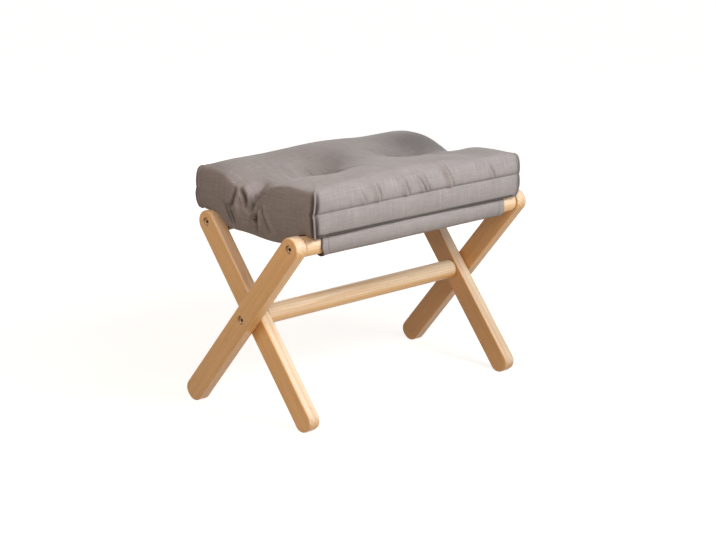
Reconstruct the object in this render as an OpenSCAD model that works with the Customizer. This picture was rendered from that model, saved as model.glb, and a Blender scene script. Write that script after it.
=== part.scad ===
// Folding footstool: two pairs of crossed beech legs, a cloth sling and a tufted cushion.
// X runs along the rails, -Y is the front and Z = 0 is the floor. Millimetres and degrees.

/* [Frame] */
// Width over the outer faces of the outer legs
stool_w = 500; // [440:5:580]
// Slope of every leg above the floor, stool open
leg_angle = 50.6; // [47:0.2:55]
// Distance from the pivot up to the centre of a seat rail
pivot_to_rail = 166.2; // [158:0.2:180]
// Distance from the pivot down to the end of a foot
pivot_to_foot = 191.5; // [180:0.5:210]

/* [Legs] */
// Width of a leg, seen from the end of the stool
leg_w = 35; // [32:0.5:38]
// Thickness of a leg, along the rails
leg_t = 21; // [18:0.5:24]
// Radius of the eased long edges of a leg
leg_edge_r = 2.5; // [1:0.25:4]
// Radius of the two rounded corners of a foot
foot_corner_r = 15.5; // [10:0.5:15.5]
// Depth of the flat sanded on a foot where it stands
foot_flat_depth = 0.6; // [0.3:0.1:1.2]

/* [Rails] */
// Diameter of the two seat rails
rail_d = 30; // [26:0.5:31]
// Diameter of the stretcher on the pivot axis
stretcher_d = 30; // [24:0.5:34]
// Radius of the eased ends of rails and stretcher
rail_end_r = 1; // [0.5:0.25:2]

/* [Bolts] */
// Diameter of a bolt head
head_d = 12.4; // [11:0.2:13]
// Height of a bolt head
head_h = 4; // [3:0.25:5]
// Radius of the rounded rim of a bolt head
head_rim_r = 0.8; // [0.4:0.1:1.2]
// Width across the flats of the hex socket
socket_af = 5; // [4:0.5:6]
// Depth of the hex socket
socket_depth = 2.6; // [2:0.1:3]
// Diameter of the threaded shank
thread_d = 6; // [5:0.5:7]
// Diameter of the smooth shoulder of a pivot bolt
shoulder_d = 8; // [7.5:0.1:9]
// Length of thread that stands past the leg
thread_l = 24; // [18:0.5:30]
// Diameter of the counterbore that a head sinks into
recess_d = 13.8; // [13.4:0.1:15]
// Depth of the counterbore
recess_depth = 6.5; // [5.5:0.25:8]

/* [Inserts and washers] */
// Diameter of the barrel of a threaded insert
insert_d = 10; // [9:0.25:11]
// Length of a threaded insert
insert_l = 15; // [12:0.5:18]
// Diameter of the flange of a threaded insert
insert_flange_d = 14; // [12.5:0.25:16]
// Thickness of the flange of a threaded insert
insert_flange_t = 1.2; // [0.8:0.1:1.6]
// Diameter of the spacer washer between crossed legs
washer_d = 22; // [16:0.5:28]
// Thickness of the spacer washer
washer_t = 1.5; // [1:0.1:2.5]

/* [Sling] */
// Bare rear rail between the left leg and the sling
sling_gap_left = 13.5; // [2:0.5:24]
// Bare rear rail between the right leg and the sling
sling_gap_right = 3.5; // [2:0.5:24]
// Thickness of the doubled cloth
sling_t = 2.6; // [1.6:0.1:3]
// How far the sling hangs below the rails at mid-depth
sling_sag = 9; // [4:0.5:16]
// Width of the hem along each end of the sling
hem_w = 14; // [8:0.5:20]
// Extra thickness of the turned hem, on the underside
hem_t = 1; // [0.6:0.1:1.6]

/* [Cushion] */
// Length of the cushion along the rails
cushion_l = 444; // [400:2:500]
// Depth of the cushion from front to back
cushion_w = 260; // [230:2:290]
// Height of the rim above the underside
rim_h = 63; // [50:1:76]
// Height of the horizontal seam above the underside
band_h = 32; // [20:0.5:40]
// Rise of the crown above the rim, over the front rail
crown_front = 6; // [3:0.5:12]
// Rise of the crown above the rim, over the rear rail
crown_back = 10; // [6:0.5:16]
// Depth of the valley between the two tufts
valley_mid = 7; // [2:0.5:12]
// Depth of the valley at both ends
valley_end = 18; // [10:0.5:22]
// Half width of that valley
valley_w = 46; // [34:1:54]
// How far the valley lies behind mid-depth
valley_y = 8; // [0:1:16]
// Distance between the two sewn tufts
tuft_spacing = 200; // [160:2:240]
// Extra depth of a tuft
tuft_depth = 19; // [8:1:22]
// Radius of the hollow round a tuft
tuft_r = 36; // [26:1:46]
// How far the ends are drawn in at mid-depth
end_draw = 9; // [4:0.5:18]
// How far the long sides are drawn in at mid-length
side_draw = 3; // [0:0.5:6]
// How far the sides puff out above the seam
puff = 1.8; // [1:0.2:4]
// Thickness of the cover
cover_t = 1.6; // [1.2:0.1:2.4]
// Width of a raised corner seam
welt_w = 3.6; // [2.4:0.2:5]
// How far a corner seam stands out
welt_out = 4; // [2.5:0.25:6]
// Diameter of a tuft tie
tie_d = 2.4; // [1.6:0.2:3]

/* [Fold] */
// Fold of the inner frame to draw, 0 is open
fold = 0; // [0:1:65]

/* [Hidden] */

// Smoothness of round parts
round_fn = 64;
edge_fn = 32;
hex_sides = 6;

// Clearances, named once
run_clear = 0.05;      // shoulder in its bore, on the radius
thread_clear = 0.25;   // thread in the plain hole of a leg, on the radius
insert_clear = 0.05;   // insert in its dowel and thread in its insert, on the radius
tip_clear = 4;         // free depth past the tip of a bolt
face_clear = 0.1;      // under the head of a bolt, along its axis
soft_clear = 0.3;      // cloth against wood, and cushion against cloth
fill_clear = 0.5;      // filling inside its cover
overrun = 1;           // how far a cut runs past the face it opens

// Frame, worked out from the driving sizes
lean = 90 - leg_angle;
foot_shoulder = leg_w / 2 - foot_corner_r;
foot_z = pivot_to_foot - foot_corner_r;
pivot_z = foot_z * sin(leg_angle) + foot_shoulder * cos(leg_angle) + foot_corner_r - foot_flat_depth;
rail_y = pivot_to_rail * cos(leg_angle);
rail_z = pivot_z + pivot_to_rail * sin(leg_angle);
outer_x = stool_w / 2;
outer_in_x = outer_x - leg_t;
inner_x = outer_in_x - washer_t;
inner_in_x = inner_x - leg_t;
grip = leg_t - recess_depth;
floor_cut_w = 2 * (pivot_to_foot + leg_w);

// Sling
sling_x = sling_gap_left - inner_in_x;
sling_w = 2 * inner_in_x - sling_gap_left - sling_gap_right;
sleeve_in_r = rail_d / 2 + soft_clear;
sleeve_r = sleeve_in_r + sling_t;
sag_steps = 24;

// Cushion
cushion_z = rail_z + sleeve_r + soft_clear;
seam_z = cushion_z + band_h;
rim_z = cushion_z + rim_h;
half_l = cushion_l / 2;
half_w = cushion_w / 2;
corner_cut = 4;
corner_power = 12;
crown_power = 6;
valley_from = 0.3;
edge_share = 0.28;
rim_inset = 7;
roll_drop = 7;
roll_inset = 1.5;
seam_pinch = 1.2;
base_inset = 3;
base_rise = 4;
cells_l = 20;
cells_w = 16;
welt_sink = 7;
welt_top_r = 7;
welt_top_drop = 4;

// Profile of a leg from its centre line to one rounded edge, thickness upward
module half_section(r) {
    square([r - leg_edge_r, leg_t]);
    translate([0, leg_edge_r]) square([r, leg_t - 2 * leg_edge_r]);
    for (y = [leg_edge_r, leg_t - leg_edge_r])
        translate([r - leg_edge_r, y]) circle(r = leg_edge_r, $fn = edge_fn);
}

// Whole cross-section of a leg, thickness along X and width along Y
module leg_section() {
    for (turn = [0, 1])
        mirror([0, turn, 0])
            translate([leg_t, 0]) rotate(90) half_section(leg_w / 2);
}

// A sector of a round, eased end: thickness along X, swept from +Y up over +Z
module eased_sector(r, sweep) {
    rotate([0, 90, 0]) rotate([0, 0, 90]) rotate_extrude(angle = sweep, $fn = round_fn) half_section(r);
}

// A leg before it is drilled, from x = 0, its pivot at the origin and its top along +Z
module leg_blank() {
    translate([0, 0, -foot_z]) linear_extrude(foot_z + pivot_to_rail) leg_section();
    translate([0, 0, pivot_to_rail]) eased_sector(leg_w / 2, 180);
    translate([0, 0, -foot_z]) {
        for (side = [0, 1])
            mirror([0, side, 0]) translate([0, foot_shoulder, 0])
                mirror([0, 0, 1]) eased_sector(foot_corner_r, 90);
        translate([0, foot_shoulder, 0]) rotate([90, 0, 0])
            linear_extrude(2 * foot_shoulder) rotate(-90) half_section(foot_corner_r);
    }
}

// A drilled leg: a counterbore from x = 0 and a hole of its own at the top and at the pivot
module drilled_leg(top_hole_r, pivot_hole_r, pivot_recess) {
    difference() {
        leg_blank();
        translate([-overrun, 0, pivot_to_rail]) rotate([0, 90, 0]) {
            cylinder(h = leg_t + 2 * overrun, r = top_hole_r, $fn = round_fn);
            cylinder(h = recess_depth + overrun, r = recess_d / 2, $fn = round_fn);
        }
        translate([-overrun, 0, 0]) rotate([0, 90, 0]) {
            cylinder(h = leg_t + 2 * overrun, r = pivot_hole_r, $fn = round_fn);
            if (pivot_recess) cylinder(h = recess_depth + overrun, r = recess_d / 2, $fn = round_fn);
        }
    }
}

// Everything below the floor
module below_floor() {
    translate([-overrun, -floor_cut_w / 2, -floor_cut_w])
        cube([leg_t + 2 * overrun, floor_cut_w, floor_cut_w]);
}

// Placing: the left end as drawn, the right end mirrored
module at_end(right) {
    mirror([right ? 1 : 0, 0, 0]) children();
}

// Turns what belongs to the inner frame by the fold
module inner_frame() {
    translate([0, 0, pivot_z]) rotate([fold, 0, 0]) translate([0, 0, -pivot_z]) children();
}

// Keeps the cushion on both rails: it turns half as far, about the front rail
module on_rails() {
    translate([0, -rail_y, rail_z]) rotate([fold / 2, 0, 0]) translate([0, rail_y, -rail_z]) children();
}

module outer_leg(right) {
    color("burlywood") at_end(right) translate([-outer_x, 0, 0]) difference() {
        translate([0, 0, pivot_z]) rotate([lean, 0, 0])
            drilled_leg(thread_d / 2 + thread_clear, shoulder_d / 2 + run_clear, true);
        below_floor();
    }
}

module inner_leg(right) {
    color("burlywood") at_end(right) inner_frame() translate([-inner_x, 0, 0]) difference() {
        translate([0, 0, pivot_z]) rotate([-lean, 0, 0])
            drilled_leg(thread_d / 2 + thread_clear, shoulder_d / 2 + run_clear, false);
        below_floor();
    }
}

// A dowel along X with eased ends and a stepped hole for an insert in each
module dowel(half, d) {
    difference() {
        rotate([0, 90, 0]) rotate_extrude($fn = round_fn) {
            translate([0, -half]) square([d / 2 - rail_end_r, 2 * half]);
            translate([0, rail_end_r - half]) square([d / 2, 2 * (half - rail_end_r)]);
            for (y = [rail_end_r - half, half - rail_end_r])
                translate([d / 2 - rail_end_r, y]) circle(r = rail_end_r, $fn = edge_fn);
        }
        for (end = [0, 1]) mirror([end, 0, 0]) translate([-half, 0, 0]) rotate([0, 90, 0]) insert_hole();
    }
}

// The hole that an insert sits in, with room for its flange and past the tip of the bolt
module insert_hole() {
    translate([0, 0, -overrun]) {
        cylinder(h = overrun + insert_flange_t + insert_clear, r = insert_flange_d / 2 + insert_clear, $fn = round_fn);
        cylinder(h = overrun + insert_l + insert_clear, r = insert_d / 2 + insert_clear, $fn = round_fn);
        cylinder(h = overrun + thread_l + tip_clear, r = thread_d / 2 + thread_clear, $fn = round_fn);
    }
}

module front_rail() {
    color("navajowhite") translate([0, -rail_y, rail_z]) dowel(outer_in_x, rail_d);
}

module rear_rail() {
    color("navajowhite") inner_frame() translate([0, rail_y, rail_z]) dowel(inner_in_x, rail_d);
}

module stretcher() {
    color("navajowhite") inner_frame() translate([0, 0, pivot_z]) dowel(inner_in_x, stretcher_d);
}

// Threaded insert, flange at the origin and barrel along +X
module insert() {
    rotate([0, 90, 0]) difference() {
        union() {
            cylinder(h = insert_flange_t, r = insert_flange_d / 2, $fn = round_fn);
            cylinder(h = insert_l, r = insert_d / 2, $fn = round_fn);
        }
        translate([0, 0, -overrun])
            cylinder(h = insert_l + 2 * overrun, r = thread_d / 2 + insert_clear, $fn = round_fn);
    }
}

// Inserts of the three dowels, each at its own end face
module rail_insert(half, y, z, right) {
    color("darkgray") at_end(right) translate([-half, y, z]) insert();
}

// Bolt along +X with its head outward, the underside of the head at the origin
module bolt(shoulder_l) {
    rotate([0, 90, 0]) difference() {
        union() {
            translate([0, 0, -head_h]) rotate_extrude($fn = round_fn) {
                square([head_d / 2 - head_rim_r, head_h]);
                translate([0, head_rim_r]) square([head_d / 2, head_h - head_rim_r]);
                translate([head_d / 2 - head_rim_r, head_rim_r]) circle(r = head_rim_r, $fn = edge_fn);
            }
            if (shoulder_l > 0) cylinder(h = shoulder_l, r = shoulder_d / 2, $fn = round_fn);
            cylinder(h = max(shoulder_l, grip + face_clear) + thread_l, r = thread_d / 2, $fn = round_fn);
        }
        translate([0, 0, -head_h - overrun])
            cylinder(h = socket_depth + overrun, r = socket_af / 2 / cos(180 / hex_sides), $fn = hex_sides);
    }
}

// A bolt whose counterbore opens at x = -face
module rail_bolt(face, y, z, right) {
    color("peru") at_end(right)
        translate([-face + recess_depth - face_clear, y, z]) bolt(0);
}

module pivot_bolt(right) {
    color("peru") at_end(right) inner_frame() translate([-outer_x + recess_depth - face_clear, 0, pivot_z])
        bolt(grip + face_clear + washer_t + leg_t);
}

module pivot_washer(right) {
    color("white") at_end(right) translate([-outer_in_x, 0, pivot_z]) rotate([0, 90, 0]) difference() {
        cylinder(h = washer_t, r = washer_d / 2, $fn = round_fn);
        translate([0, 0, -overrun])
            cylinder(h = washer_t + 2 * overrun, r = shoulder_d / 2 + run_clear, $fn = round_fn);
    }
}

// The pocket of the sling round one rail
module sleeve(y, z) {
    color("darkgray") translate([sling_x, y, z]) rotate([0, 90, 0]) difference() {
        cylinder(h = sling_w, r = sleeve_r, $fn = round_fn);
        translate([0, 0, -overrun]) cylinder(h = sling_w + 2 * overrun, r = sleeve_in_r, $fn = round_fn);
    }
}

// Height of the top of the sling between the rails
function sling_top(y) = rail_z + sleeve_r - sling_sag * (1 - pow(y / rail_y, 2));

// A strip of the sling, seen from the end of the stool
module sling_strip(length, thickness) {
    rotate([90, 0, 90]) linear_extrude(length) difference() {
        polygon(concat(
            [for (i = [0:sag_steps]) let (y = rail_y * (2 * i / sag_steps - 1)) [y, sling_top(y)]],
            [for (i = [sag_steps:-1:0]) let (y = rail_y * (2 * i / sag_steps - 1)) [y, sling_top(y) - thickness]]
        ));
        for (y = [-rail_y, rail_y])
            translate([y, rail_z]) circle(r = sleeve_r + soft_clear, $fn = round_fn);
    }
}

// The cloth between the pockets, with a turned hem under each end
module sling_panel() {
    color("darkgray") {
        translate([sling_x, 0, 0]) sling_strip(sling_w, sling_t);
        for (x = [sling_x, sling_x + sling_w - hem_w])
            translate([x, 0, 0]) sling_strip(hem_w, sling_t + hem_t);
    }
}

// Steps from -1 to 1, closer together toward both ends
function steps(n) = [for (i = [0:n]) let (t = 2 * i / n - 1) t * (1 + edge_share - edge_share * t * t)];

// Where the outline of the cushion is drawn in, for shares u and v of its half length and width
function plan(u, v, inset) =
    let (corner = corner_cut * pow(u * v, corner_power))
    [
        u * (half_l - inset - corner - end_draw * pow(1 - v * v, 2) * u * u),
        v * (half_w - inset - corner - side_draw * pow(1 - u * u, 2) * v * v)
    ];

// A smooth rise from 0 to 1 while t goes from 0 to 1
function eased(t) = let (k = max(0, min(1, t))) k * k * (3 - 2 * k);

// Depth of the valley that runs along the cushion and leaves a V in the rim of each end
function valley(x, y) =
    (valley_mid + (valley_end - valley_mid) * eased((abs(x) / half_l - valley_from) / (1 - valley_from)))
    * exp(-pow((y - valley_y) / valley_w, 2));

// Rise of the crown above the rim where it is full
function crown(y) = crown_front + (crown_back - crown_front) * eased((y / valley_w + 1) / 2);

// The hollow round the two sewn tufts
function tufts(x, y) = tuft_depth * (
    exp(-(pow(x - tuft_spacing / 2, 2) + y * y) / pow(tuft_r, 2)) +
    exp(-(pow(x + tuft_spacing / 2, 2) + y * y) / pow(tuft_r, 2)));

// Height of the top panel over shares u and v
function top_z(u, v) =
    let (p = plan(u, v, rim_inset))
    rim_z + crown(p[1]) * (1 - pow(u, crown_power)) * (1 - pow(v, crown_power))
    - valley(p[0], p[1]) - tufts(p[0], p[1]);

// Shares u and v of the points round the rim, counter-clockwise
function rim_shares(nl, nw) = let (us = steps(nl), vs = steps(nw)) concat(
    [for (i = [0:nl - 1]) [us[i], -1]],
    [for (j = [0:nw - 1]) [1, vs[j]]],
    [for (i = [nl:-1:1]) [us[i], 1]],
    [for (j = [nw:-1:1]) [-1, vs[j]]]);

// One ring of the side, dipping with the valley by a share of it
function side_ring(rim, z, inset, dip_share) =
    [for (s = rim) let (p = plan(s[0], s[1], inset)) [p[0], p[1], z - dip_share * valley(p[0], p[1])]];

// Triangles between two rings, each given as the list of its points' places
function band_faces(upper, lower) = let (n = len(upper)) [for (i = [0:n - 1]) let (k = (i + 1) % n)
    each [[upper[i], upper[k], lower[k]], [upper[i], lower[k], lower[i]]]];

// Places of the n points of the ring that starts at a
function ring_places(a, n) = [for (i = [0:n - 1]) a + i];

// Places of the grid's own points round the rim, in the order of rim_shares
function grid_rim(nl, nw) = let (row = nw + 1) concat(
    [for (i = [0:nl - 1]) i * row],
    [for (j = [0:nw - 1]) nl * row + j],
    [for (i = [nl:-1:1]) i * row + nw],
    [for (j = [nw:-1:1]) j]);

// Closed body of the cushion down through the given side rings, topped by the tufted crown
module crowned_body(skin, low_rings) {
    us = steps(cells_l);
    vs = steps(cells_w);
    rim = rim_shares(cells_l, cells_w);
    n = len(rim);
    row = cells_w + 1;
    grid = [for (u = us) for (v = vs) let (p = plan(u, v, rim_inset + skin)) [p[0], p[1], top_z(u, v) - skin]];
    rings = concat([side_ring(rim, rim_z - roll_drop - skin / 2, roll_inset + skin, 1)], low_rings);
    places = concat([grid_rim(cells_l, cells_w)],
        [for (r = [0:len(rings) - 1]) ring_places(len(grid) + r * n, n)]);
    lowest = places[len(rings)];
    centre = len(grid) + n * len(rings);
    polyhedron(
        points = concat(grid, [for (r = rings) each r], [[0, 0, rings[len(rings) - 1][0][2]]]),
        faces = concat(
            [for (i = [0:cells_l - 1]) for (j = [0:cells_w - 1]) let (a = i * row + j)
                each [[a, a + 1, a + row + 1], [a, a + row + 1, a + row]]],
            [for (r = [0:len(rings) - 1]) each band_faces(places[r], places[r + 1])],
            [for (i = [0:n - 1]) [lowest[i], lowest[(i + 1) % n], centre]]));
}

// Closed body between the first and the last of the rings, flat at both
module ringed_body(rings) {
    n = len(rings[0]);
    count = len(rings);
    top_centre = count * n;
    polyhedron(
        points = concat([for (r = rings) each r], [[0, 0, rings[0][0][2]], [0, 0, rings[count - 1][0][2]]]),
        faces = concat(
            [for (r = [0:count - 2]) each band_faces(ring_places(r * n, n), ring_places((r + 1) * n, n))],
            [for (i = [0:n - 1]) [(i + 1) % n, i, top_centre]],
            [for (i = [0:n - 1]) [(count - 1) * n + i, (count - 1) * n + (i + 1) % n, top_centre + 1]]));
}

module cushion_top_cover() {
    rim = rim_shares(cells_l, cells_w);
    color("gray") on_rails() difference() {
        crowned_body(0, [
            side_ring(rim, (rim_z + seam_z) / 2, -puff, 0.4),
            side_ring(rim, seam_z, seam_pinch, 0)]);
        crowned_body(cover_t, [
            side_ring(rim, (rim_z + seam_z) / 2, cover_t - puff, 0.4),
            side_ring(rim, seam_z - overrun, seam_pinch + cover_t, 0)]);
    }
}

module cushion_base_cover() {
    rim = rim_shares(cells_l, cells_w);
    color("dimgray") on_rails() difference() {
        ringed_body([
            side_ring(rim, seam_z, seam_pinch, 0),
            side_ring(rim, cushion_z + base_rise, 0, 0),
            side_ring(rim, cushion_z, base_inset, 0)]);
        ringed_body([
            side_ring(rim, seam_z + overrun, seam_pinch + cover_t, 0),
            side_ring(rim, cushion_z + cover_t, base_inset + cover_t, 0)]);
    }
}

module cushion_filling() {
    skin = cover_t + fill_clear;
    rim = rim_shares(cells_l, cells_w);
    color("ivory") on_rails() difference() {
        crowned_body(skin, [
            side_ring(rim, seam_z, seam_pinch + skin, 0),
            side_ring(rim, cushion_z + skin, base_inset + skin, 0)]);
        for (side = [-1, 1]) translate([side * tuft_spacing / 2, 0, cushion_z])
            cylinder(h = rim_h + crown_back, r = tie_d / 2 + soft_clear, $fn = edge_fn);
    }
}

module cushion_tuft_ties() {
    fullness = 1 - pow(tuft_spacing / cushion_l, crown_power);
    tie_top = rim_z + crown(0) * fullness - valley(tuft_spacing / 2, 0) - tuft_depth - cover_t;
    color("gray") on_rails() for (side = [-1, 1])
        translate([side * tuft_spacing / 2, 0, cushion_z + cover_t])
            cylinder(h = tie_top - cushion_z - cover_t - fill_clear, r = tie_d / 2, $fn = edge_fn);
}

// Outline of a corner seam in its own upright plane, outward along X and up along Y
module welt_outline(h) {
    translate([-welt_sink, 0]) {
        square([welt_sink + welt_out, h - welt_top_r]);
        square([welt_sink + welt_out - welt_top_r, h]);
    }
    translate([welt_out - welt_top_r, h - welt_top_r]) circle(r = welt_top_r, $fn = edge_fn);
}

module cushion_corner_seams() {
    color("dimgray") on_rails() for (sx = [0, 1]) for (sy = [0, 1])
        mirror([sx, 0, 0]) mirror([0, sy, 0])
            translate([half_l - corner_cut, half_w - corner_cut, cushion_z + base_rise / 2]) rotate(45)
                rotate([90, 0, 0]) translate([0, 0, -welt_w / 2])
                    linear_extrude(welt_w) welt_outline(rim_h - base_rise / 2 - welt_top_drop);
}

outer_leg(false);  // outer_leg_left
outer_leg(true);  // outer_leg_right
front_rail();
rail_bolt(outer_x, -rail_y, rail_z, false);  // front_rail_bolt_left
rail_bolt(outer_x, -rail_y, rail_z, true);  // front_rail_bolt_right
rail_insert(outer_in_x, -rail_y, rail_z, false);  // front_rail_insert_left
rail_insert(outer_in_x, -rail_y, rail_z, true);  // front_rail_insert_right
sleeve(-rail_y, rail_z);  // sling_front_sleeve
inner_leg(false);  // inner_leg_left
inner_leg(true);  // inner_leg_right
rear_rail();
stretcher();
inner_frame() rail_bolt(inner_x, rail_y, rail_z, false);  // rear_rail_bolt_left
inner_frame() rail_bolt(inner_x, rail_y, rail_z, true);  // rear_rail_bolt_right
pivot_bolt(false);  // pivot_bolt_left
pivot_bolt(true);  // pivot_bolt_right
inner_frame() rail_insert(inner_in_x, rail_y, rail_z, false);  // rear_rail_insert_left
inner_frame() rail_insert(inner_in_x, rail_y, rail_z, true);  // rear_rail_insert_right
rail_insert(inner_in_x, 0, pivot_z, false);  // stretcher_insert_left
rail_insert(inner_in_x, 0, pivot_z, true);  // stretcher_insert_right
pivot_washer(false);  // pivot_washer_left
pivot_washer(true);  // pivot_washer_right
inner_frame() sleeve(rail_y, rail_z);  // sling_rear_sleeve
sling_panel();
cushion_top_cover();
cushion_base_cover();
cushion_filling();
cushion_tuft_ties();
cushion_corner_seams();
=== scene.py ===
"""Folding footstool: studio, finishes, fittings, sling and cushion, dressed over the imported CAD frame.

Sizes are metres, in the frame of the CAD model: X runs along the rails toward the right end, -Y is the
front and Z = 0 is the floor.
"""

import logging
import math
from dataclasses import dataclass
from enum import Enum
from typing import Callable, Iterable, Sequence

import bmesh
import bpy
import numpy as np
from mathutils import Matrix, Vector, noise


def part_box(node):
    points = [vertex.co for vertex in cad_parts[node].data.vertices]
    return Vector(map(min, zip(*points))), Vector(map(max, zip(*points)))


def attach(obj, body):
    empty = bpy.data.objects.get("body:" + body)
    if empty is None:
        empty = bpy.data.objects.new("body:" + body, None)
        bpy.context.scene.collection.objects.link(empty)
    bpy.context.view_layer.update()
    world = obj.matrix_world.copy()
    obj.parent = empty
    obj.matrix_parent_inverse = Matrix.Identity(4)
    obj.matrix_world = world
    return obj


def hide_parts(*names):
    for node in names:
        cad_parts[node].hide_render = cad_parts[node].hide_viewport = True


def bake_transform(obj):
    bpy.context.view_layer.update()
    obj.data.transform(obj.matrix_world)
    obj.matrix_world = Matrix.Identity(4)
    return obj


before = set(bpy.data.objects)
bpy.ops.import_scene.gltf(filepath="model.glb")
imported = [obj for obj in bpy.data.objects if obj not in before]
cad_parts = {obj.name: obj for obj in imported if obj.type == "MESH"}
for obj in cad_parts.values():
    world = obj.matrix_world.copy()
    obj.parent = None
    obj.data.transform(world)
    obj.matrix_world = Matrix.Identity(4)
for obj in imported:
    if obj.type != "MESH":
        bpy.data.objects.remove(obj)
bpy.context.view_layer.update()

log = logging.getLogger("footstool")

Array = np.ndarray
Material = bpy.types.Material
Socket = bpy.types.NodeSocket
Outputs = bpy.types.NodeOutputs
Value = float | tuple | Socket
Pair = tuple[float, float]
Place = tuple[float, float, float]
Rgb = tuple[float, float, float]
Table = tuple[tuple[float, ...], ...]

MM = 0.001


class Body(Enum):
    """The moving parts of the stool, as the record names them."""

    OUTER = "outer_frame"
    INNER = "inner_frame"
    CUSHION = "cushion"


class Slot(Enum):
    """The record's material slots that new pieces are listed with."""

    BRONZE = "bolt_bronze"
    SLING = "sling_cloth"
    CUSHION = "cushion_cloth"
    THREAD = "thread"


class Grain(Enum):
    """Which way the wood's fibres run, as the turn that brings them upright."""

    OUTER_LEG = (math.radians(-39.4), 0.0, 0.0)
    INNER_LEG = (math.radians(39.4), 0.0, 0.0)
    DOWEL = (0.0, math.radians(-90.0), 0.0)


class Face(Enum):
    """Faces of the cushion that folds are laid on: the two axes along it, the axis out of it and its sign."""

    LEFT_END = (1, 2, 0, -1)
    RIGHT_END = (1, 2, 0, 1)
    FRONT = (0, 2, 1, -1)
    BACK = (0, 2, 1, 1)
    TOP = (0, 1, 2, 1)


# Curves and runs


def soft_step(value: Array, low: float | Array, high: float | Array) -> Array:
    """Return 0 below low, 1 above high and a smooth rise between."""
    t = np.clip((value - low) / (high - low), 0.0, 1.0)
    return t * t * (3 - 2 * t)


def bell(away: Array, width: float | Array, power: float | Array = 2) -> Array:
    """Return 1 where away is 0, falling off over a width."""
    return np.exp(-(np.abs(away / width) ** power))


def read_off(table: Table, at: Array) -> Array:
    """Return what a table of (place, value) rows gives at each place."""
    return np.interp(at, *np.array(table, float).T)


def run_of(line: Array) -> Array:
    """Return how far along a line each of its points lies."""
    return np.concatenate([[0.0], np.cumsum(np.linalg.norm(np.diff(line, axis=0), axis=1))])


def on_line(line: Array, marks: Array, at: Array | float) -> Array:
    """Return the points of a line at which its marks read as asked."""
    return np.stack([np.interp(at, marks, column) for column in line.T], axis=-1)


def waver(x: Array | float, y: Array | float, z: Array | float) -> Array:
    """Return smooth noise at points given by their three coordinates."""
    grids = np.broadcast_arrays(x, y, z)
    return np.reshape([noise.noise(Vector(p)) for p in zip(*(g.ravel() for g in grids))], grids[0].shape)


# Modelling bench


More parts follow.
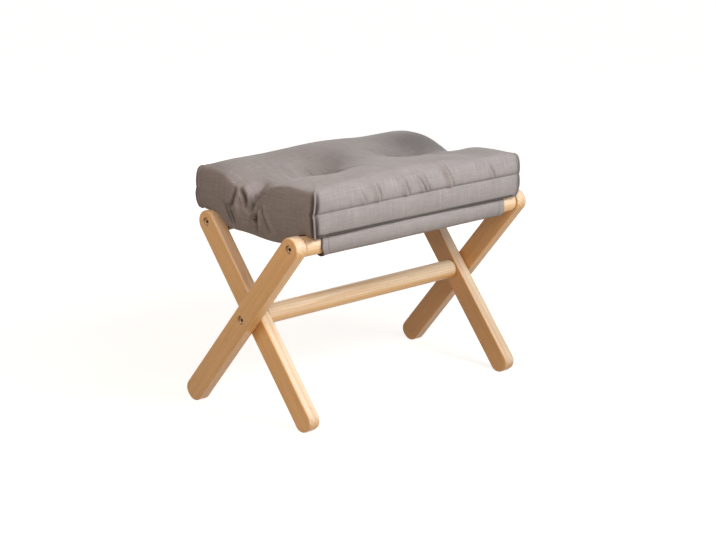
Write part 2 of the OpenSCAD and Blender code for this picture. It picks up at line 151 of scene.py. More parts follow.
class Piece:
    """An object on the bench. Each step works on it alone."""

    def __init__(self, obj: bpy.types.Object, name: str) -> None:
        """Take an object and name it."""
        self.obj = obj
        obj.name = obj.data.name = name

    @classmethod
    def added(cls, name: str, operator: Callable, **settings: object) -> "Piece":
        """Add an object with nothing else selected.

        Args:
            name: The piece's name.
            operator: The operator that adds it.
            **settings: The operator's settings.

        Returns:
            The new piece.
        """
        cls.clear()
        operator(**settings)
        return cls(bpy.context.object, name)

    @classmethod
    def sheet(cls, name: str, points: Array, faces: Sequence[Sequence[int]]) -> "Piece":
        """Make a sheet or soft form.

        Args:
            name: The piece's name.
            points: Its points.
            faces: The numbers of each face's points.

        Returns:
            The new piece.
        """
        data = bpy.data.meshes.new(name)
        data.from_pydata(points.tolist(), [], faces)
        data.update()
        obj = bpy.data.objects.new(name, data)
        bpy.context.scene.collection.objects.link(obj)
        return cls(obj, name)

    @staticmethod
    def clear() -> None:
        """Leave edit mode and deselect everything."""
        if bpy.context.object and bpy.context.object.mode != "OBJECT":
            bpy.ops.object.mode_set(mode="OBJECT")
        bpy.ops.object.select_all(action="DESELECT")

    def alone(self) -> None:
        """Select this object and nothing else."""
        self.clear()
        self.obj.select_set(True)
        bpy.context.view_layer.objects.active = self.obj

    def _pick(self, kind: str, choose: Callable[[bmesh.types.BMesh], list]) -> None:
        """Enter edit mode and select some parts of the mesh, and nothing else.

        Args:
            kind: FACE or EDGE.
            choose: Called with the mesh, returns the parts to select.
        """
        self.alone()
        bpy.ops.object.mode_set(mode="EDIT")
        bpy.ops.mesh.select_mode(type=kind)
        bpy.ops.mesh.select_all(action="DESELECT")
        shape = bmesh.from_edit_mesh(self.obj.data)
        shape.normal_update()
        for part in choose(shape):
            part.select_set(True)
        bmesh.update_edit_mesh(self.obj.data)

    def pick_faces(self, test: Callable[[Vector, Vector], bool]) -> None:
        """Select, in edit mode, the faces whose middle and normal pass a test."""
        self._pick("FACE", lambda shape: [f for f in shape.faces if test(f.calc_center_median(), f.normal)])

    def pick_edges(self, test: Callable[[Vector, Vector], bool]) -> None:
        """Select, in edit mode, the edges whose two ends pass a test."""
        self._pick("EDGE", lambda shape: [e for e in shape.edges if test(e.verts[0].co, e.verts[1].co)])

    def modify(self, kind: str, **settings: object) -> None:
        """Add one modifier and apply it.

        Args:
            kind: The modifier's type.
            **settings: Its settings.
        """
        self.alone()
        modifier = self.obj.modifiers.new(kind.title(), kind)
        for key, value in settings.items():
            setattr(modifier, key, value)
        bpy.ops.object.modifier_apply(modifier=modifier.name)

    def settle(self) -> None:
        """Put the object's place, turn and scale into its mesh."""
        self.alone()
        bpy.ops.object.transform_apply(location=True, rotation=True, scale=True)

    def smooth(self, angle: float) -> None:
        """Shade smooth, but keep edges sharper than the angle, in degrees."""
        self.alone()
        bpy.ops.object.shade_smooth_by_angle(angle=math.radians(angle))

    def outward(self) -> None:
        """Make every face point outward."""
        self.pick_faces(lambda middle, normal: True)
        bpy.ops.mesh.normals_make_consistent(inside=False)
        self.clear()

    @staticmethod
    def read(rows: Sequence, name: str, width: int, kind: type = float) -> Array:
        """Read one property from every row of a mesh's data.

        Args:
            rows: The points, corners or other rows.
            name: The property.
            width: How many numbers it has.
            kind: The type of its numbers.

        Returns:
            The numbers, a row for each row read.
        """
        flat = np.empty(len(rows) * width, kind)
        rows.foreach_get(name, flat)
        return flat.reshape(-1, width)

    @property
    def places(self) -> Array:
        """The places of the object's points."""
        return self.read(self.obj.data.vertices, "co", 3)

    @places.setter
    def places(self, places: Array) -> None:
        """Move the object's points."""
        self.obj.data.vertices.foreach_set("co", np.ascontiguousarray(places, float).ravel())
        self.obj.data.update()

    def normals(self) -> Array:
        """Return the normals at the object's points."""
        return self.read(self.obj.data.vertex_normals, "vector", 3, np.float32).astype(float)

    def corners(self) -> Array:
        """Return the number of the point at each face corner."""
        return self.read(self.obj.data.loops, "vertex_index", 1, int)[:, 0]

    def lay_map(self, flat: Array) -> None:
        """Lay the cloth's UV map, in metres, from a flat place for each face corner."""
        layer = self.obj.data.uv_layers.new(name="cloth")
        layer.data.foreach_set("uv", flat.astype(np.float32).ravel())

    def mark(self, dark: Array) -> None:
        """Keep how much shade is painted on each point, and on the bolts grime as well, for the finish to
        read.
        """
        layer = self.obj.data.attributes.new("crease", "FLOAT", "POINT")
        layer.data.foreach_set("value", dark.astype(np.float32))

    def dress(self, finish: Material, slot: Slot) -> None:
        """Give the piece its finish.

        Args:
            finish: The material.
            slot: The record's slot that it stands for. It is not used.
        """
        self.obj.data.materials.clear()
        self.obj.data.materials.append(finish)

    def stand_in(self, body: Body, *nodes: str) -> None:
        """Put the piece in the place of CAD nodes.

        Args:
            body: The body that it rides on.
            *nodes: The nodes that it replaces.
        """
        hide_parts(*nodes)
        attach(self.obj, body.value)
        log.info("%s rides on %s", self.obj.name, body.value)


# Nodes and shared effects


class Net:
    """A node tree being wired."""

    def __init__(self, tree: bpy.types.NodeTree) -> None:
        """Take the tree to wire."""
        self.tree = tree

    def find(self, kind: str) -> bpy.types.Node:
        """Return the node of a type that the tree came with."""
        return next(n for n in self.tree.nodes if n.type == kind)

    def put(self, socket: Socket, value: Value) -> None:
        """Link a socket to an input, or write a plain value into it.

        Args:
            socket: The input.
            value: A socket, a number, a vector or a colour.
        """
        if isinstance(value, Socket):
            self.tree.links.new(value, socket)
        else:
            socket.default_value = (*value, 1.0) if socket.type == "RGBA" else value

    def add(self, kind: str, inputs: dict[str | int, Value] | None = None, **settings: object) -> Outputs:
        """Add a node.

        Args:
            kind: The node's type, without its ShaderNode prefix.
            inputs: Values or sockets by input name or number.
            **settings: Properties of the node itself.

        Returns:
            The node's outputs.
        """
        made = self.tree.nodes.new("ShaderNode" + kind)
        for key, value in settings.items():
            setattr(made, key, value)
        for key, value in (inputs or {}).items():
            self.put(made.inputs[key], value)
        return made.outputs

    def math(self, operation: str, a: Value, b: Value = 0.0, c: Value = 0.0, clamp: bool = False) -> Socket:
        """Return the result of a Math node."""
        return self.add("Math", {0: a, 1: b, 2: c}, operation=operation, use_clamp=clamp)[0]

    def times(self, a: Value, b: Value, plus: Value = 0.0, clamp: bool = False) -> Socket:
        """Return a times b, plus a third value."""
        return self.math("MULTIPLY_ADD", a, b, plus, clamp)

    def vector(self, operation: str, a: Value, b: Value = (0.0, 0.0, 0.0), result: str = "Vector") -> Socket:
        """Return a result of a Vector Math node."""
        return self.add("VectorMath", {0: a, 1: b}, operation=operation)[result]

    def blend(self, share: Value, a: Value, b: Value) -> Socket:
        """Return a colour mixed from a to b by a share."""
        return self.add("Mix", {0: share, 6: a, 7: b}, data_type="RGBA")[2]

    def remap(self, value: Socket, low: float, high: float, start: float = 0.0, stop: float = 1.0) -> Socket:
        """Return a value moved from low..high to start..stop, with soft ends."""
        inputs = {0: value, 1: low, 2: high, 3: start, 4: stop}
        return self.add("MapRange", inputs, interpolation_type="SMOOTHSTEP")[0]

    def layer(self, colour: Value, over: Rgb, mask: Socket, low: float, high: float, share: float) -> Socket:
        """Return a colour with another laid over it, up to a share, where a mask goes from low to high."""
        return self.blend(self.remap(mask, low, high, 0.0, share), colour, over)

    def noise(self, vector: Socket, scale: float | Place, detail: float = 3.0, rough: float = 0.55) -> Socket:
        """Add a noise texture.

        Args:
            vector: Where it is read.
            scale: How fine it is, as one number or one for each axis.
            detail: How many finer layers it has.
            rough: How strong they are.

        Returns:
            Its value.
        """
        if isinstance(scale, tuple):
            vector, scale = self.vector("MULTIPLY", vector, scale), 1.0
        inputs = {"Vector": vector, "Scale": scale, "Detail": detail, "Roughness": rough}
        return self.add("TexNoise", inputs)[0]

    def bump(self, height: Socket, strength: float, distance: float) -> Socket:
        """Return normals bumped by a height."""
        return self.add("Bump", {"Height": height, "Strength": strength, "Distance": distance})[0]

    def seen(self) -> Socket:
        """Tell the camera's own view of a surface from the light that falls on it.

        Returns:
            1 where the camera sees the surface, directly or in metal or glass, and 0 elsewhere.
        """
        path = self.add("LightPath")
        behind = self.math("MAXIMUM", path["Is Glossy Ray"], path["Is Transmission Ray"])
        return self.math("MAXIMUM", path["Is Camera Ray"], behind)


Wire = Callable[[Net, Outputs], dict[str, Socket]]


class Effect:
    """Node groups that more than one material uses, each built once."""

    _built: dict[str, bpy.types.NodeTree] = {}

    @classmethod
    def place(cls, net: Net, wire: Wire, **values: Value) -> Outputs:
        """Put an effect into a material.

        Args:
            net: The material's net.
            wire: The effect, as the function that wires its group.
            **values: Values or sockets by input name. The one named vector is a vector, the others numbers.

        Returns:
            The group node's outputs.
        """
        name = wire.__name__
        if name not in cls._built:
            cls._built[name] = cls._build(name, wire, list(values))
        made = net.tree.nodes.new("ShaderNodeGroup")
        made.node_tree = cls._built[name]
        for label, value in values.items():
            net.put(made.inputs[label], value)
        return made.outputs

    @staticmethod
    def _build(name: str, wire: Wire, labels: list[str]) -> bpy.types.NodeTree:
        """Build an effect's group.

        Args:
            name: The group's name.
            wire: Called with the net and the inputs, returns the output sockets by name.
            labels: Names of the inputs.

        Returns:
            The node group.
        """
        tree = bpy.data.node_groups.new(name, "ShaderNodeTree")
        net = Net(tree)
        for label in labels:
            kind = "NodeSocketVector" if label == "vector" else "NodeSocketFloat"
            tree.interface.new_socket(label, in_out="INPUT", socket_type=kind)
        results = wire(net, tree.nodes.new("NodeGroupInput").outputs)
        for label in results:
            tree.interface.new_socket(label, in_out="OUTPUT", socket_type="NodeSocketFloat")
        leave = tree.nodes.new("NodeGroupOutput")
        for label, value in results.items():
            net.put(leave.inputs[label], value)
        return tree

    @staticmethod
    def beech_grain(net: Net, given: Outputs) -> dict[str, Socket]:
        """Wire wood grain along Z: growth rings, fibre streaks and the short flecks of beech.

        Args:
            net: The group's net.
            given: Its vector, the ring_width and how far the rings wander.

        Returns:
            Masks of the rings, streaks, bands and flecks, and the height.
        """
        place = given["vector"]
        drift = net.noise(place, (9.0, 9.0, 1.4), 2.0)
        parts = net.add("SeparateXYZ", {0: place})
        across = net.add("CombineXYZ", {0: parts[0], 1: parts[1]})[0]
        bent = net.times(drift, given["wander"], net.vector("LENGTH", across, result="Value"))
        saw = net.math("FRACT", net.math("DIVIDE", bent, given["ring_width"]))
        rings = net.times(net.remap(saw, 0.25, 0.95), net.remap(saw, 1.0, 0.95))
        uneven = net.noise(place, (60.0, 60.0, 4.0), 2.0)
        streaks = net.noise(place, (1500.0, 1500.0, 32.0), 2.0, 0.6)
        cells = net.vector("MULTIPLY", place, (620.0, 620.0, 215.0))
        cells = net.add("TexVoronoi", {"Vector": cells, "Scale": 1.0})["Distance"]
        sparse = net.noise(place, (240.0, 240.0, 90.0), 1.0)
        flecks = net.times(net.remap(cells, 0.34, 0.16), net.remap(sparse, 0.46, 0.6), clamp=True)
        return {
            "rings": net.times(rings, net.remap(uneven, 0.3, 0.7, 0.35, 1.0)),
            "streaks": streaks,
            "bands": net.noise(place, (170.0, 170.0, 7.0), 3.0, 0.6),
            "flecks": flecks,
            "height": net.times(flecks, -0.5, net.times(streaks, 0.6)),
        }

    @staticmethod
    def worn_edges(net: Net, given: Outputs) -> dict[str, Socket]:
        """Wire a mask that is 1 on edges, broken up so that it reads as handling wear.

        Args:
            net: The group's net.
            given: Its vector, and the radius of an edge.

        Returns:
            The mask.
        """
        rounded = net.add("Bevel", {"Radius": given["radius"]}, samples=4)[0]
        flat = net.add("NewGeometry")["Normal"]
        edge = net.remap(net.vector("DOT_PRODUCT", rounded, flat, "Value"), 0.995, 0.86)
        patchy = net.remap(net.noise(given["vector"], 140.0, 3.0), 0.35, 0.65)
        return {"mask": net.times(edge, net.times(patchy, 0.6, 0.4), clamp=True)}

    @staticmethod
    def plain_weave(net: Net, given: Outputs) -> dict[str, Socket]:
        """Wire a plain weave over a surface measured in metres.

        Args:
            net: The group's net.
            given: Its vector, the pitch of the threads and how much their slubs stand out.

        Returns:
            The height, which thread is over, and the slubs, thick threads and mottle.
        """
        place = given["vector"]
        wobble = net.noise(place, 55.0, 2.0)
        shift = net.add("CombineXYZ", {0: net.times(wobble, 0.0016), 1: net.times(wobble, -0.0013)})[0]
        parts = net.add("SeparateXYZ", {0: net.vector("ADD", place, shift)})
        counts = [net.math("DIVIDE", parts[k], given["pitch"]) for k in (0, 1)]
        crowns = [net.math("SINE", net.times(net.math("FRACT", count), math.pi)) for count in counts]
        cell = net.math("ADD", *(net.math("FLOOR", count) for count in counts))
        over = net.math("FLOORED_MODULO", cell, 2.0)
        warp, weft = (
            net.times(net.math("SQRT", crown), net.times(other, 0.55, 0.45))
            for crown, other in (crowns, reversed(crowns))
        )
        height = net.add("Mix", {0: over, 2: warp, 3: weft}, data_type="FLOAT")[0]
        runs = [net.noise(place, scale, 3.0, 0.65) for scale in ((60.0, 1500.0, 1.0), (1500.0, 60.0, 1.0))]
        slub = net.times(net.math("ADD", *runs), 0.5)
        thick = [net.noise(place, scale, 2.0, 0.6) for scale in ((26.0, 520.0, 1.0), (520.0, 26.0, 1.0))]
        return {
            "height": net.times(net.math("SUBTRACT", slub, 0.5), given["slub"], height),
            "over": over,
            "slubs": slub,
            "streaks": net.times(thick[0], 0.42, net.times(thick[1], 0.58)),
            "mottle": net.noise(place, 24.0, 4.0, 0.6),
        }


# Finishes


@dataclass(frozen=True)
class Finish:
    """A finish of the stool or studio.

    Attributes:
        name: Its material's name.
    """

    name: str

    def make(self) -> Material:
        """Put this finish on a new material's shader.

        Returns:
            The material.
        """
        made = bpy.data.materials.new(self.name)
        made.use_nodes = True
        net = Net(made.node_tree)
        shader = net.find("BSDF_PRINCIPLED").inputs
        for label, value in self.look(net).items():
            net.put(shader[label], value)
        return made

    def look(self, net: Net) -> dict[str, Value]:
        """Wire the finish.

        Args:
            net: The material's net.

        Returns:
            Values and sockets by the name of the shader's input.
        """
        raise NotImplementedError


@dataclass(frozen=True)
class Beech(Finish):
    """Clear-varnished beech, cut from its own part of the board.

    Attributes:
        grain: Which way the fibres run.
        heart: Where the middle of the log lies, from the piece's fibres.
        light: Colour of the early wood.
        dark: Colour of the late wood.
        fleck_and_joint_shade: Colour of the short flecks, and of the shade painted where a rail meets the
            legs.
        painted_highlight: Colour that the early wood takes on the narrow faces that face up, a highlight
            painted where the light falls on them.
        tint: Share of brightness, for the differences from piece to piece, and on the inner right leg for
            painted shade as well.
        joint_shade_x: Where a rail's ends meet the legs, and take a painted line of shade.
    """

    grain: Grain
    heart: Place
    light: Rgb = (0.83, 0.49, 0.195)
    dark: Rgb = (0.66, 0.34, 0.105)
    fleck_and_joint_shade: Rgb = (0.38, 0.18, 0.07)
    painted_highlight: Rgb = (0.87, 0.68, 0.50)
    tint: float = 1.0
    joint_shade_x: float = 0.0

    def look(self, net: Net) -> dict[str, Value]:
        """Wire grain, a painted highlight on the narrow upper faces, worn edges, painted shade at the joints
        and varnish.

        Args:
            net: The material's net.

        Returns:
            Values and sockets by the name of the shader's input.
        """
        coords = net.add("TexCoord")["Object"]
        turn = {"Vector": coords, "Rotation": self.grain.value, "Location": self.heart}
        turned = net.add("Mapping", turn)[0]
        grain = Effect.place(net, Effect.beech_grain, vector=turned, ring_width=0.0042, wander=0.02)
        worn = Effect.place(net, Effect.worn_edges, vector=coords, radius=0.0012)[0]
        shades = (self.light, self.dark, self.painted_highlight)
        light, dark, painted_highlight = (tuple(c * self.tint for c in shade) for shade in shades)
        # Painted highlight: narrow faces that face up take a paler colour, as where the light falls on them.
        facing = net.add("SeparateXYZ", {0: net.add("TexCoord")["Normal"]})
        narrow = net.remap(net.math("ABSOLUTE", facing[0]), 0.8, 0.35)
        upper = net.remap(facing[2], -0.5, 0.25, 0.05, 1.0)
        colour = net.blend(net.times(narrow, upper), light, painted_highlight)
        colour = net.blend(net.times(grain["rings"], 0.5), colour, dark)
        colour = net.layer(colour, dark, grain["bands"], 0.35, 0.75, 0.5)
        colour = net.layer(colour, dark, grain["streaks"], 0.5, 0.85, 0.3)
        colour = net.blend(net.times(grain["flecks"], 0.42), colour, self.fleck_and_joint_shade)
        # Rubbed edges take a colour a little paler than the painted highlight.
        colour = net.blend(net.times(worn, 0.3), colour, tuple(min(1.0, c * 1.08) for c in painted_highlight))
        # Painted shade: a dark line on the rail just short of each leg, where the joint's shadow falls.
        if self.joint_shade_x:
            along = net.math("ABSOLUTE", net.add("SeparateXYZ", {0: coords})[0])
            colour = net.layer(colour, self.fleck_and_joint_shade, along, self.joint_shade_x - 0.0035, self.joint_shade_x - 0.0012, 0.85)
        return {
            "Base Color": colour,
            "Roughness": net.times(worn, 0.06, net.times(grain["streaks"], 0.2, 0.36)),
            "Coat Weight": 0.3,
            "Coat Roughness": 0.28,
            "Normal": net.bump(grain["height"], 0.22, 0.00012),
        }


@dataclass(frozen=True)
class Cloth(Finish):
    """Plain-woven cloth, measured in metres on the piece's own UV map.

    Attributes:
        warp: Colour of one set of threads.
        weft: Colour of the other.
        shade: Colour that the painted shade goes to, where the piece marks it in creases, hollows and gaps.
        pitch: Distance from thread to thread.
    """

    warp: Rgb
    weft: Rgb
    shade: Rgb
    pitch: float = 0.00085

    def look(self, net: Net) -> dict[str, Value]:
        """Wire the threads, their slubs and streaks, the mottle and the painted shade in creases, hollows and
        gaps.

        Args:
            net: The material's net.

        Returns:
            Values and sockets by the name of the shader's input.
        """
        place = net.add("UVMap", uv_map="cloth")[0]
        weave = Effect.place(net, Effect.plain_weave, vector=place, pitch=self.pitch, slub=1.1)
        low = tuple(c * 0.72 for c in self.warp)
        high = tuple(min(1.0, c * 1.16) for c in self.weft)
        colour = net.blend(weave["over"], self.warp, self.weft)
        for over, mask, start, stop, share in (
            (low, "height", 0.75, 0.15, 0.55),
            (high, "slubs", 0.52, 0.7, 0.5), (low, "slubs", 0.48, 0.3, 0.5),
            (high, "streaks", 0.5, 0.68, 0.62), (low, "streaks", 0.5, 0.32, 0.55),
            (low, "mottle", 0.3, 0.7, 0.22),
        ):
            colour = net.layer(colour, over, weave[mask], start, stop, share)
        # Painted shade: the crease layer darkens the colour toward the shade colour in creases, hollows and
        # gaps.
        crease = net.add("Attribute", attribute_name="crease")["Fac"]
        return {
            "Base Color": net.blend(net.times(crease, 0.94, clamp=True), colour, self.shade),
            "Roughness": net.remap(weave["height"], 0.1, 1.0, 0.95, 0.78),
            "Specular IOR Level": 0.25,
            "Sheen Weight": 0.18,
            "Sheen Roughness": 0.5,
            "Normal": net.bump(weave["height"], 0.45, 0.00022),
        }


@dataclass(frozen=True)
class Metal(Finish):
    """Plated metal with handling marks.

    Attributes:
        colour: Colour of the plating.
        worn: Colour where edges are rubbed bright.
        dark: Colour of the tarnish mottle, and of the shade painted with the grime down in sockets.
        rough: Its roughness.
    """

    colour: Rgb
    worn: Rgb
    dark: Rgb
    rough: float = 0.34

    def look(self, net: Net) -> dict[str, Value]:
        """Wire tarnish, rubbed edges, and the painted shade and grime down in sockets.

        Args:
            net: The material's net.

        Returns:
            Values and sockets by the name of the shader's input.
        """
        coords = net.add("TexCoord")["Object"]
        broad = net.noise(coords, 260.0, 4.0, 0.65)
        worn = Effect.place(net, Effect.worn_edges, vector=coords, radius=0.0005)[0]
        # Painted shade and grime down in the socket, read from the crease layer.
        socket_shade_and_soot = net.add("Attribute", attribute_name="crease")["Fac"]
        colour = net.layer(self.colour, self.dark, broad, 0.35, 0.7, 0.4)
        colour = net.blend(net.times(worn, 0.7), colour, self.worn)
        return {
            "Base Color": net.blend(net.times(socket_shade_and_soot, 0.85, clamp=True), colour, self.dark),
            "Metallic": 1.0,
            "Roughness": net.times(socket_shade_and_soot, 0.3, net.times(broad, 0.22, self.rough - 0.1), clamp=True),
            "Normal": net.bump(net.noise(coords, 1400.0, 3.0), 0.12, 0.00005),
        }


@dataclass(frozen=True)
class Nylon(Finish):
    """Natural nylon of the spacer washers, faintly mottled and scuffed.

    Attributes:
        colour: Its own colour.
        scuffed: Colour of the mottle.
        bare: Colour of its rubbed edges.
    """

    colour: Rgb = (0.74, 0.70, 0.61)
    scuffed: Rgb = (0.55, 0.50, 0.42)
    bare: Rgb = (0.86, 0.83, 0.76)

    def look(self, net: Net) -> dict[str, Value]:
        """Wire the mottle, rubbed edges and fine scratches.

        Args:
            net: The material's net.

        Returns:
            Values and sockets by the name of the shader's input.
        """
        coords = net.add("TexCoord")["Object"]
        broad = net.noise(coords, 180.0, 4.0)
        worn = Effect.place(net, Effect.worn_edges, vector=coords, radius=0.0004)[0]
        colour = net.layer(self.colour, self.scuffed, broad, 0.4, 0.75, 0.4)
        return {
            "Base Color": net.blend(net.times(worn, 0.4), colour, self.bare),
            "Roughness": net.times(broad, 0.2, 0.38),
            "Normal": net.bump(net.noise(coords, 2400.0, 2.0), 0.15, 0.00004),
        }


@dataclass(frozen=True)
class Thread(Finish):
    """Twisted sewing thread, a shade darker than the cloth.

    Attributes:
        colour: Colour on top of each ply.
        dark: Colour between the plies.
    """

    colour: Rgb
    dark: Rgb

    def look(self, net: Net) -> dict[str, Value]:
        """Wire the twisted plies and their fuzz.

        Args:
            net: The material's net.

        Returns:
            Values and sockets by the name of the shader's input.
        """
        coords = net.add("TexCoord")["Object"]
        turned = net.add("Mapping", {"Vector": coords, "Rotation": (0.6, 0.5, 0.8)})[0]
        ply = net.add("TexWave", {"Vector": turned, "Scale": 900.0, "Distortion": 2.0, "Detail": 1.0})["Fac"]
        fuzz = net.noise(coords, 3000.0, 2.0)
        colour = net.layer(self.colour, self.dark, ply, 0.7, 0.1, 1.0)
        return {
            "Base Color": net.blend(net.times(fuzz, 0.3), colour, self.dark),
            "Roughness": net.times(fuzz, 0.2, 0.65),
            "Normal": net.bump(ply, 0.4, 0.00008),
        }


@dataclass(frozen=True)
class FloorWhite(Finish):
    """The studio's floor: a plain matt tone that is white to the camera, and still holds the stool's shadow.

    Attributes:
        colour: The tone that the lamps light.
        glow: Brightness to the camera near the stool and far from it.
        reach: Distances from the middle that count as near and far.
    """

    colour: Rgb = (0.46, 0.41, 0.35)
    glow: Pair = (0.80, 0.95)
    reach: Pair = (0.25, 1.3)

    def make(self) -> Material:
        """Put the floor's tone on a new material's shader, and add its glow.

        Returns:
            The material.
        """
        made = super().make()
        net = Net(made.node_tree)
        away = net.vector("LENGTH", net.add("TexCoord")["Object"], result="Value")
        strength = net.times(net.seen(), net.remap(away, *self.reach, *self.glow))
        glow = net.add("Emission", {"Color": (1.0, 1.0, 1.0), "Strength": strength})[0]
        both = net.add("AddShader", {0: net.find("BSDF_PRINCIPLED").outputs[0], 1: glow})[0]
        net.put(net.find("OUTPUT_MATERIAL").inputs["Surface"], both)
        return made

    def look(self, net: Net) -> dict[str, Value]:
        """Wire a faint mottle.

        Args:
            net: The material's net.

        Returns:
            Values and sockets by the name of the shader's input.
        """
        patchy = net.noise(net.add("TexCoord")["Object"], 3.0, 2.0)
        colour = net.blend(patchy, self.colour, tuple(c * 0.97 for c in self.colour))
        return {"Base Color": colour, "Roughness": 0.9, "Specular IOR Level": 0.1}


# Darker beech for the two right legs: painted shade, for the deeper shade that they stand in.
SHADED_BEECH: tuple[Rgb, Rgb] = ((0.765, 0.415, 0.152), (0.60, 0.285, 0.082))
BEECH = {
    "outer_leg_left": Beech("beech_outer_left", Grain.OUTER_LEG, (0.31, 0.055, 0.10)),
    "outer_leg_right": Beech("beech_outer_right", Grain.OUTER_LEG, (-0.17, 0.06, 0.45), *SHADED_BEECH),
    "inner_leg_left": Beech("beech_inner_left", Grain.INNER_LEG, (0.295, -0.045, 0.80), tint=1.03),
    "inner_leg_right": Beech(
        "beech_inner_right", Grain.INNER_LEG, (-0.155, 0.03, 1.20), *SHADED_BEECH, tint=0.92,
    ),
    "front_rail": Beech("beech_front_rail", Grain.DOWEL, (-0.23, 0.125, 1.7), tint=1.04, joint_shade_x=0.229),
    "rear_rail": Beech("beech_rear_rail", Grain.DOWEL, (-0.24, -0.085, 2.1), tint=0.98, joint_shade_x=0.2065),
    "stretcher": Beech("beech_stretcher", Grain.DOWEL, (-0.105, 0.04, 2.6), tint=1.03, joint_shade_x=0.2065),
}
BRONZE = Metal("bolt_bronze", (0.43, 0.27, 0.15), (0.72, 0.52, 0.34), (0.07, 0.045, 0.03))
ZINC = Metal("insert_zinc", (0.60, 0.58, 0.53), (0.80, 0.79, 0.76), (0.22, 0.20, 0.17), rough=0.4)
CUSHION_CLOTH = Cloth("cushion_cloth", (0.338, 0.293, 0.290), (0.389, 0.341, 0.338), (0.042, 0.033, 0.030))
SLING_CLOTH = Cloth(
    "sling_cloth", (0.348, 0.304, 0.300), (0.398, 0.350, 0.346), (0.048, 0.038, 0.034), pitch=0.00095,
)
THREAD = Thread("seam_thread", (0.26, 0.235, 0.225), (0.12, 0.105, 0.10))


# Studio


@dataclass(frozen=True)
class Lamp:
    """A soft lamp: where it stands, what it faces, its size, its power and its colour."""

    name: str
    place: Place
    target: Place
    size: float
    power: float
    colour: Rgb

    def light(self) -> None:
        """Add the lamp."""
        lamp = Piece.added(self.name, bpy.ops.object.light_add, type="AREA", location=self.place).obj
        lamp.data.energy = self.power
        lamp.data.size = self.size
        lamp.data.color = self.colour
        lamp.visible_camera = False
        lamp.rotation_euler = (Vector(self.target) - Vector(self.place)).to_track_quat("-Z", "Y").to_euler()


@dataclass
class Studio:
    """The camera of the photograph, a white floor and backdrop, and soft lamps."""

    eye: Place = (-1.981213, -2.011947, 0.936525)
    right: Place = (0.7160021, -0.6979767, 0.0130183)
    up: Place = (0.1703466, 0.1927696, 0.9663446)
    forward: Place = (0.6769956, 0.6896872, -0.2569214)
    focal_px: float = 1856.415
    frame_px: int = 716
    sensor: float = 36.0
    floor_size: float = 40.0
    ambient: Rgb = (1.10, 0.86, 0.74)
    ambient_level: float = 0.08
    lamps: tuple[Lamp, ...] = (
        Lamp("key_left", (-0.34, -0.95, 0.92), (0.0, -0.05, 0.24), 0.55, 4.0, (1.0, 0.86, 0.90)),
        Lamp("key_right", (0.16, -0.97, 0.92), (0.0, -0.05, 0.24), 0.55, 10.6, (0.87, 1.0, 0.99)),
        Lamp("left_lamp", (-1.10, -0.15, 1.05), (-0.1, 0.0, 0.26), 0.50, 5.1, (1.0, 0.93, 0.76)),
        Lamp("warm_fill", (-1.15, -1.00, 0.62), (-0.15, 0.0, 0.24), 0.50, 1.6, (1.0, 0.55, 0.38)),
        Lamp("right_lamp", (1.55, -1.05, 1.55), (0.0, 0.0, 0.22), 1.0, 3.4, (0.85, 0.88, 1.0)),
        Lamp("back_lamp", (0.70, 1.60, 0.70), (0.0, 0.0, 0.24), 0.80, 7.0, (1.0, 0.96, 0.92)),
    )

    def build(self) -> None:
        """Set up the whole studio."""
        self._camera()
        self._floor()
        self._world()
        for lamp in self.lamps:
            lamp.light()
        bpy.context.scene.view_settings.view_transform = "Standard"

    def _camera(self) -> None:
        """Stand the camera where the photograph was taken from."""
        camera = Piece.added("studio_camera", bpy.ops.object.camera_add, location=self.eye).obj
        turn = Matrix((self.right, self.up, tuple(-c for c in self.forward))).transposed()
        camera.rotation_euler = turn.to_euler()
        camera.data.sensor_width = self.sensor
        camera.data.lens = self.sensor * self.focal_px / self.frame_px
        camera.data.clip_start, camera.data.clip_end = 0.05, 100.0
        bpy.context.scene.camera = camera

    def _floor(self) -> None:
        """Lay the floor."""
        floor = Piece.added("studio_floor", bpy.ops.mesh.primitive_plane_add, size=self.floor_size)
        floor.alone()
        bpy.ops.object.mode_set(mode="EDIT")
        bpy.ops.mesh.subdivide(number_cuts=3)
        floor.clear()
        floor.obj.data.materials.append(FloorWhite("floor_white").make())

    def _world(self) -> None:
        """Make the surroundings white to the camera and a soft warm white to the stool."""
        world = bpy.data.worlds.new("studio_world")
        world.use_nodes = True
        bpy.context.scene.world = world
        net = Net(world.node_tree)
        backdrop = net.find("BACKGROUND")
        net.put(backdrop.inputs["Color"], self.ambient)
        net.put(backdrop.inputs["Strength"], self.ambient_level)
        white = net.add("Background", {"Color": (1.0, 1.0, 1.0), "Strength": 1.0})[0]
        mixed = net.add("MixShader", {0: net.seen(), 1: backdrop.outputs[0], 2: white})[0]
        net.put(net.find("OUTPUT_WORLD").inputs["Surface"], mixed)


# Wooden frame and its metal


@dataclass
class WoodenFrame:
    """Legs, rails, stretcher, inserts and washers: the CAD solids themselves, finished as the real ones."""

    inserted: tuple[str, ...] = ("front_rail", "rear_rail", "stretcher")

    def dress(self) -> None:
        """Give every solid of the frame its finish."""
        for node, wood in BEECH.items():
            self._finish(node, wood.make())
        zinc, nylon = ZINC.make(), Nylon("washer_nylon").make()
        for end in ("left", "right"):
            for dowel in self.inserted:
                self._finish(f"{dowel}_insert_{end}", zinc)
            self._finish(f"pivot_washer_{end}", nylon)

    @staticmethod
    def _finish(node: str, finish: Material) -> None:
        """Put one finish in all of a solid's material slots.

        Args:
            node: The solid's node.
            finish: Its material.
        """
        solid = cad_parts[node]
        solid.data.materials.clear()
        solid.data.materials.append(finish)
        log.info("%s is finished in %s", node, finish.name)


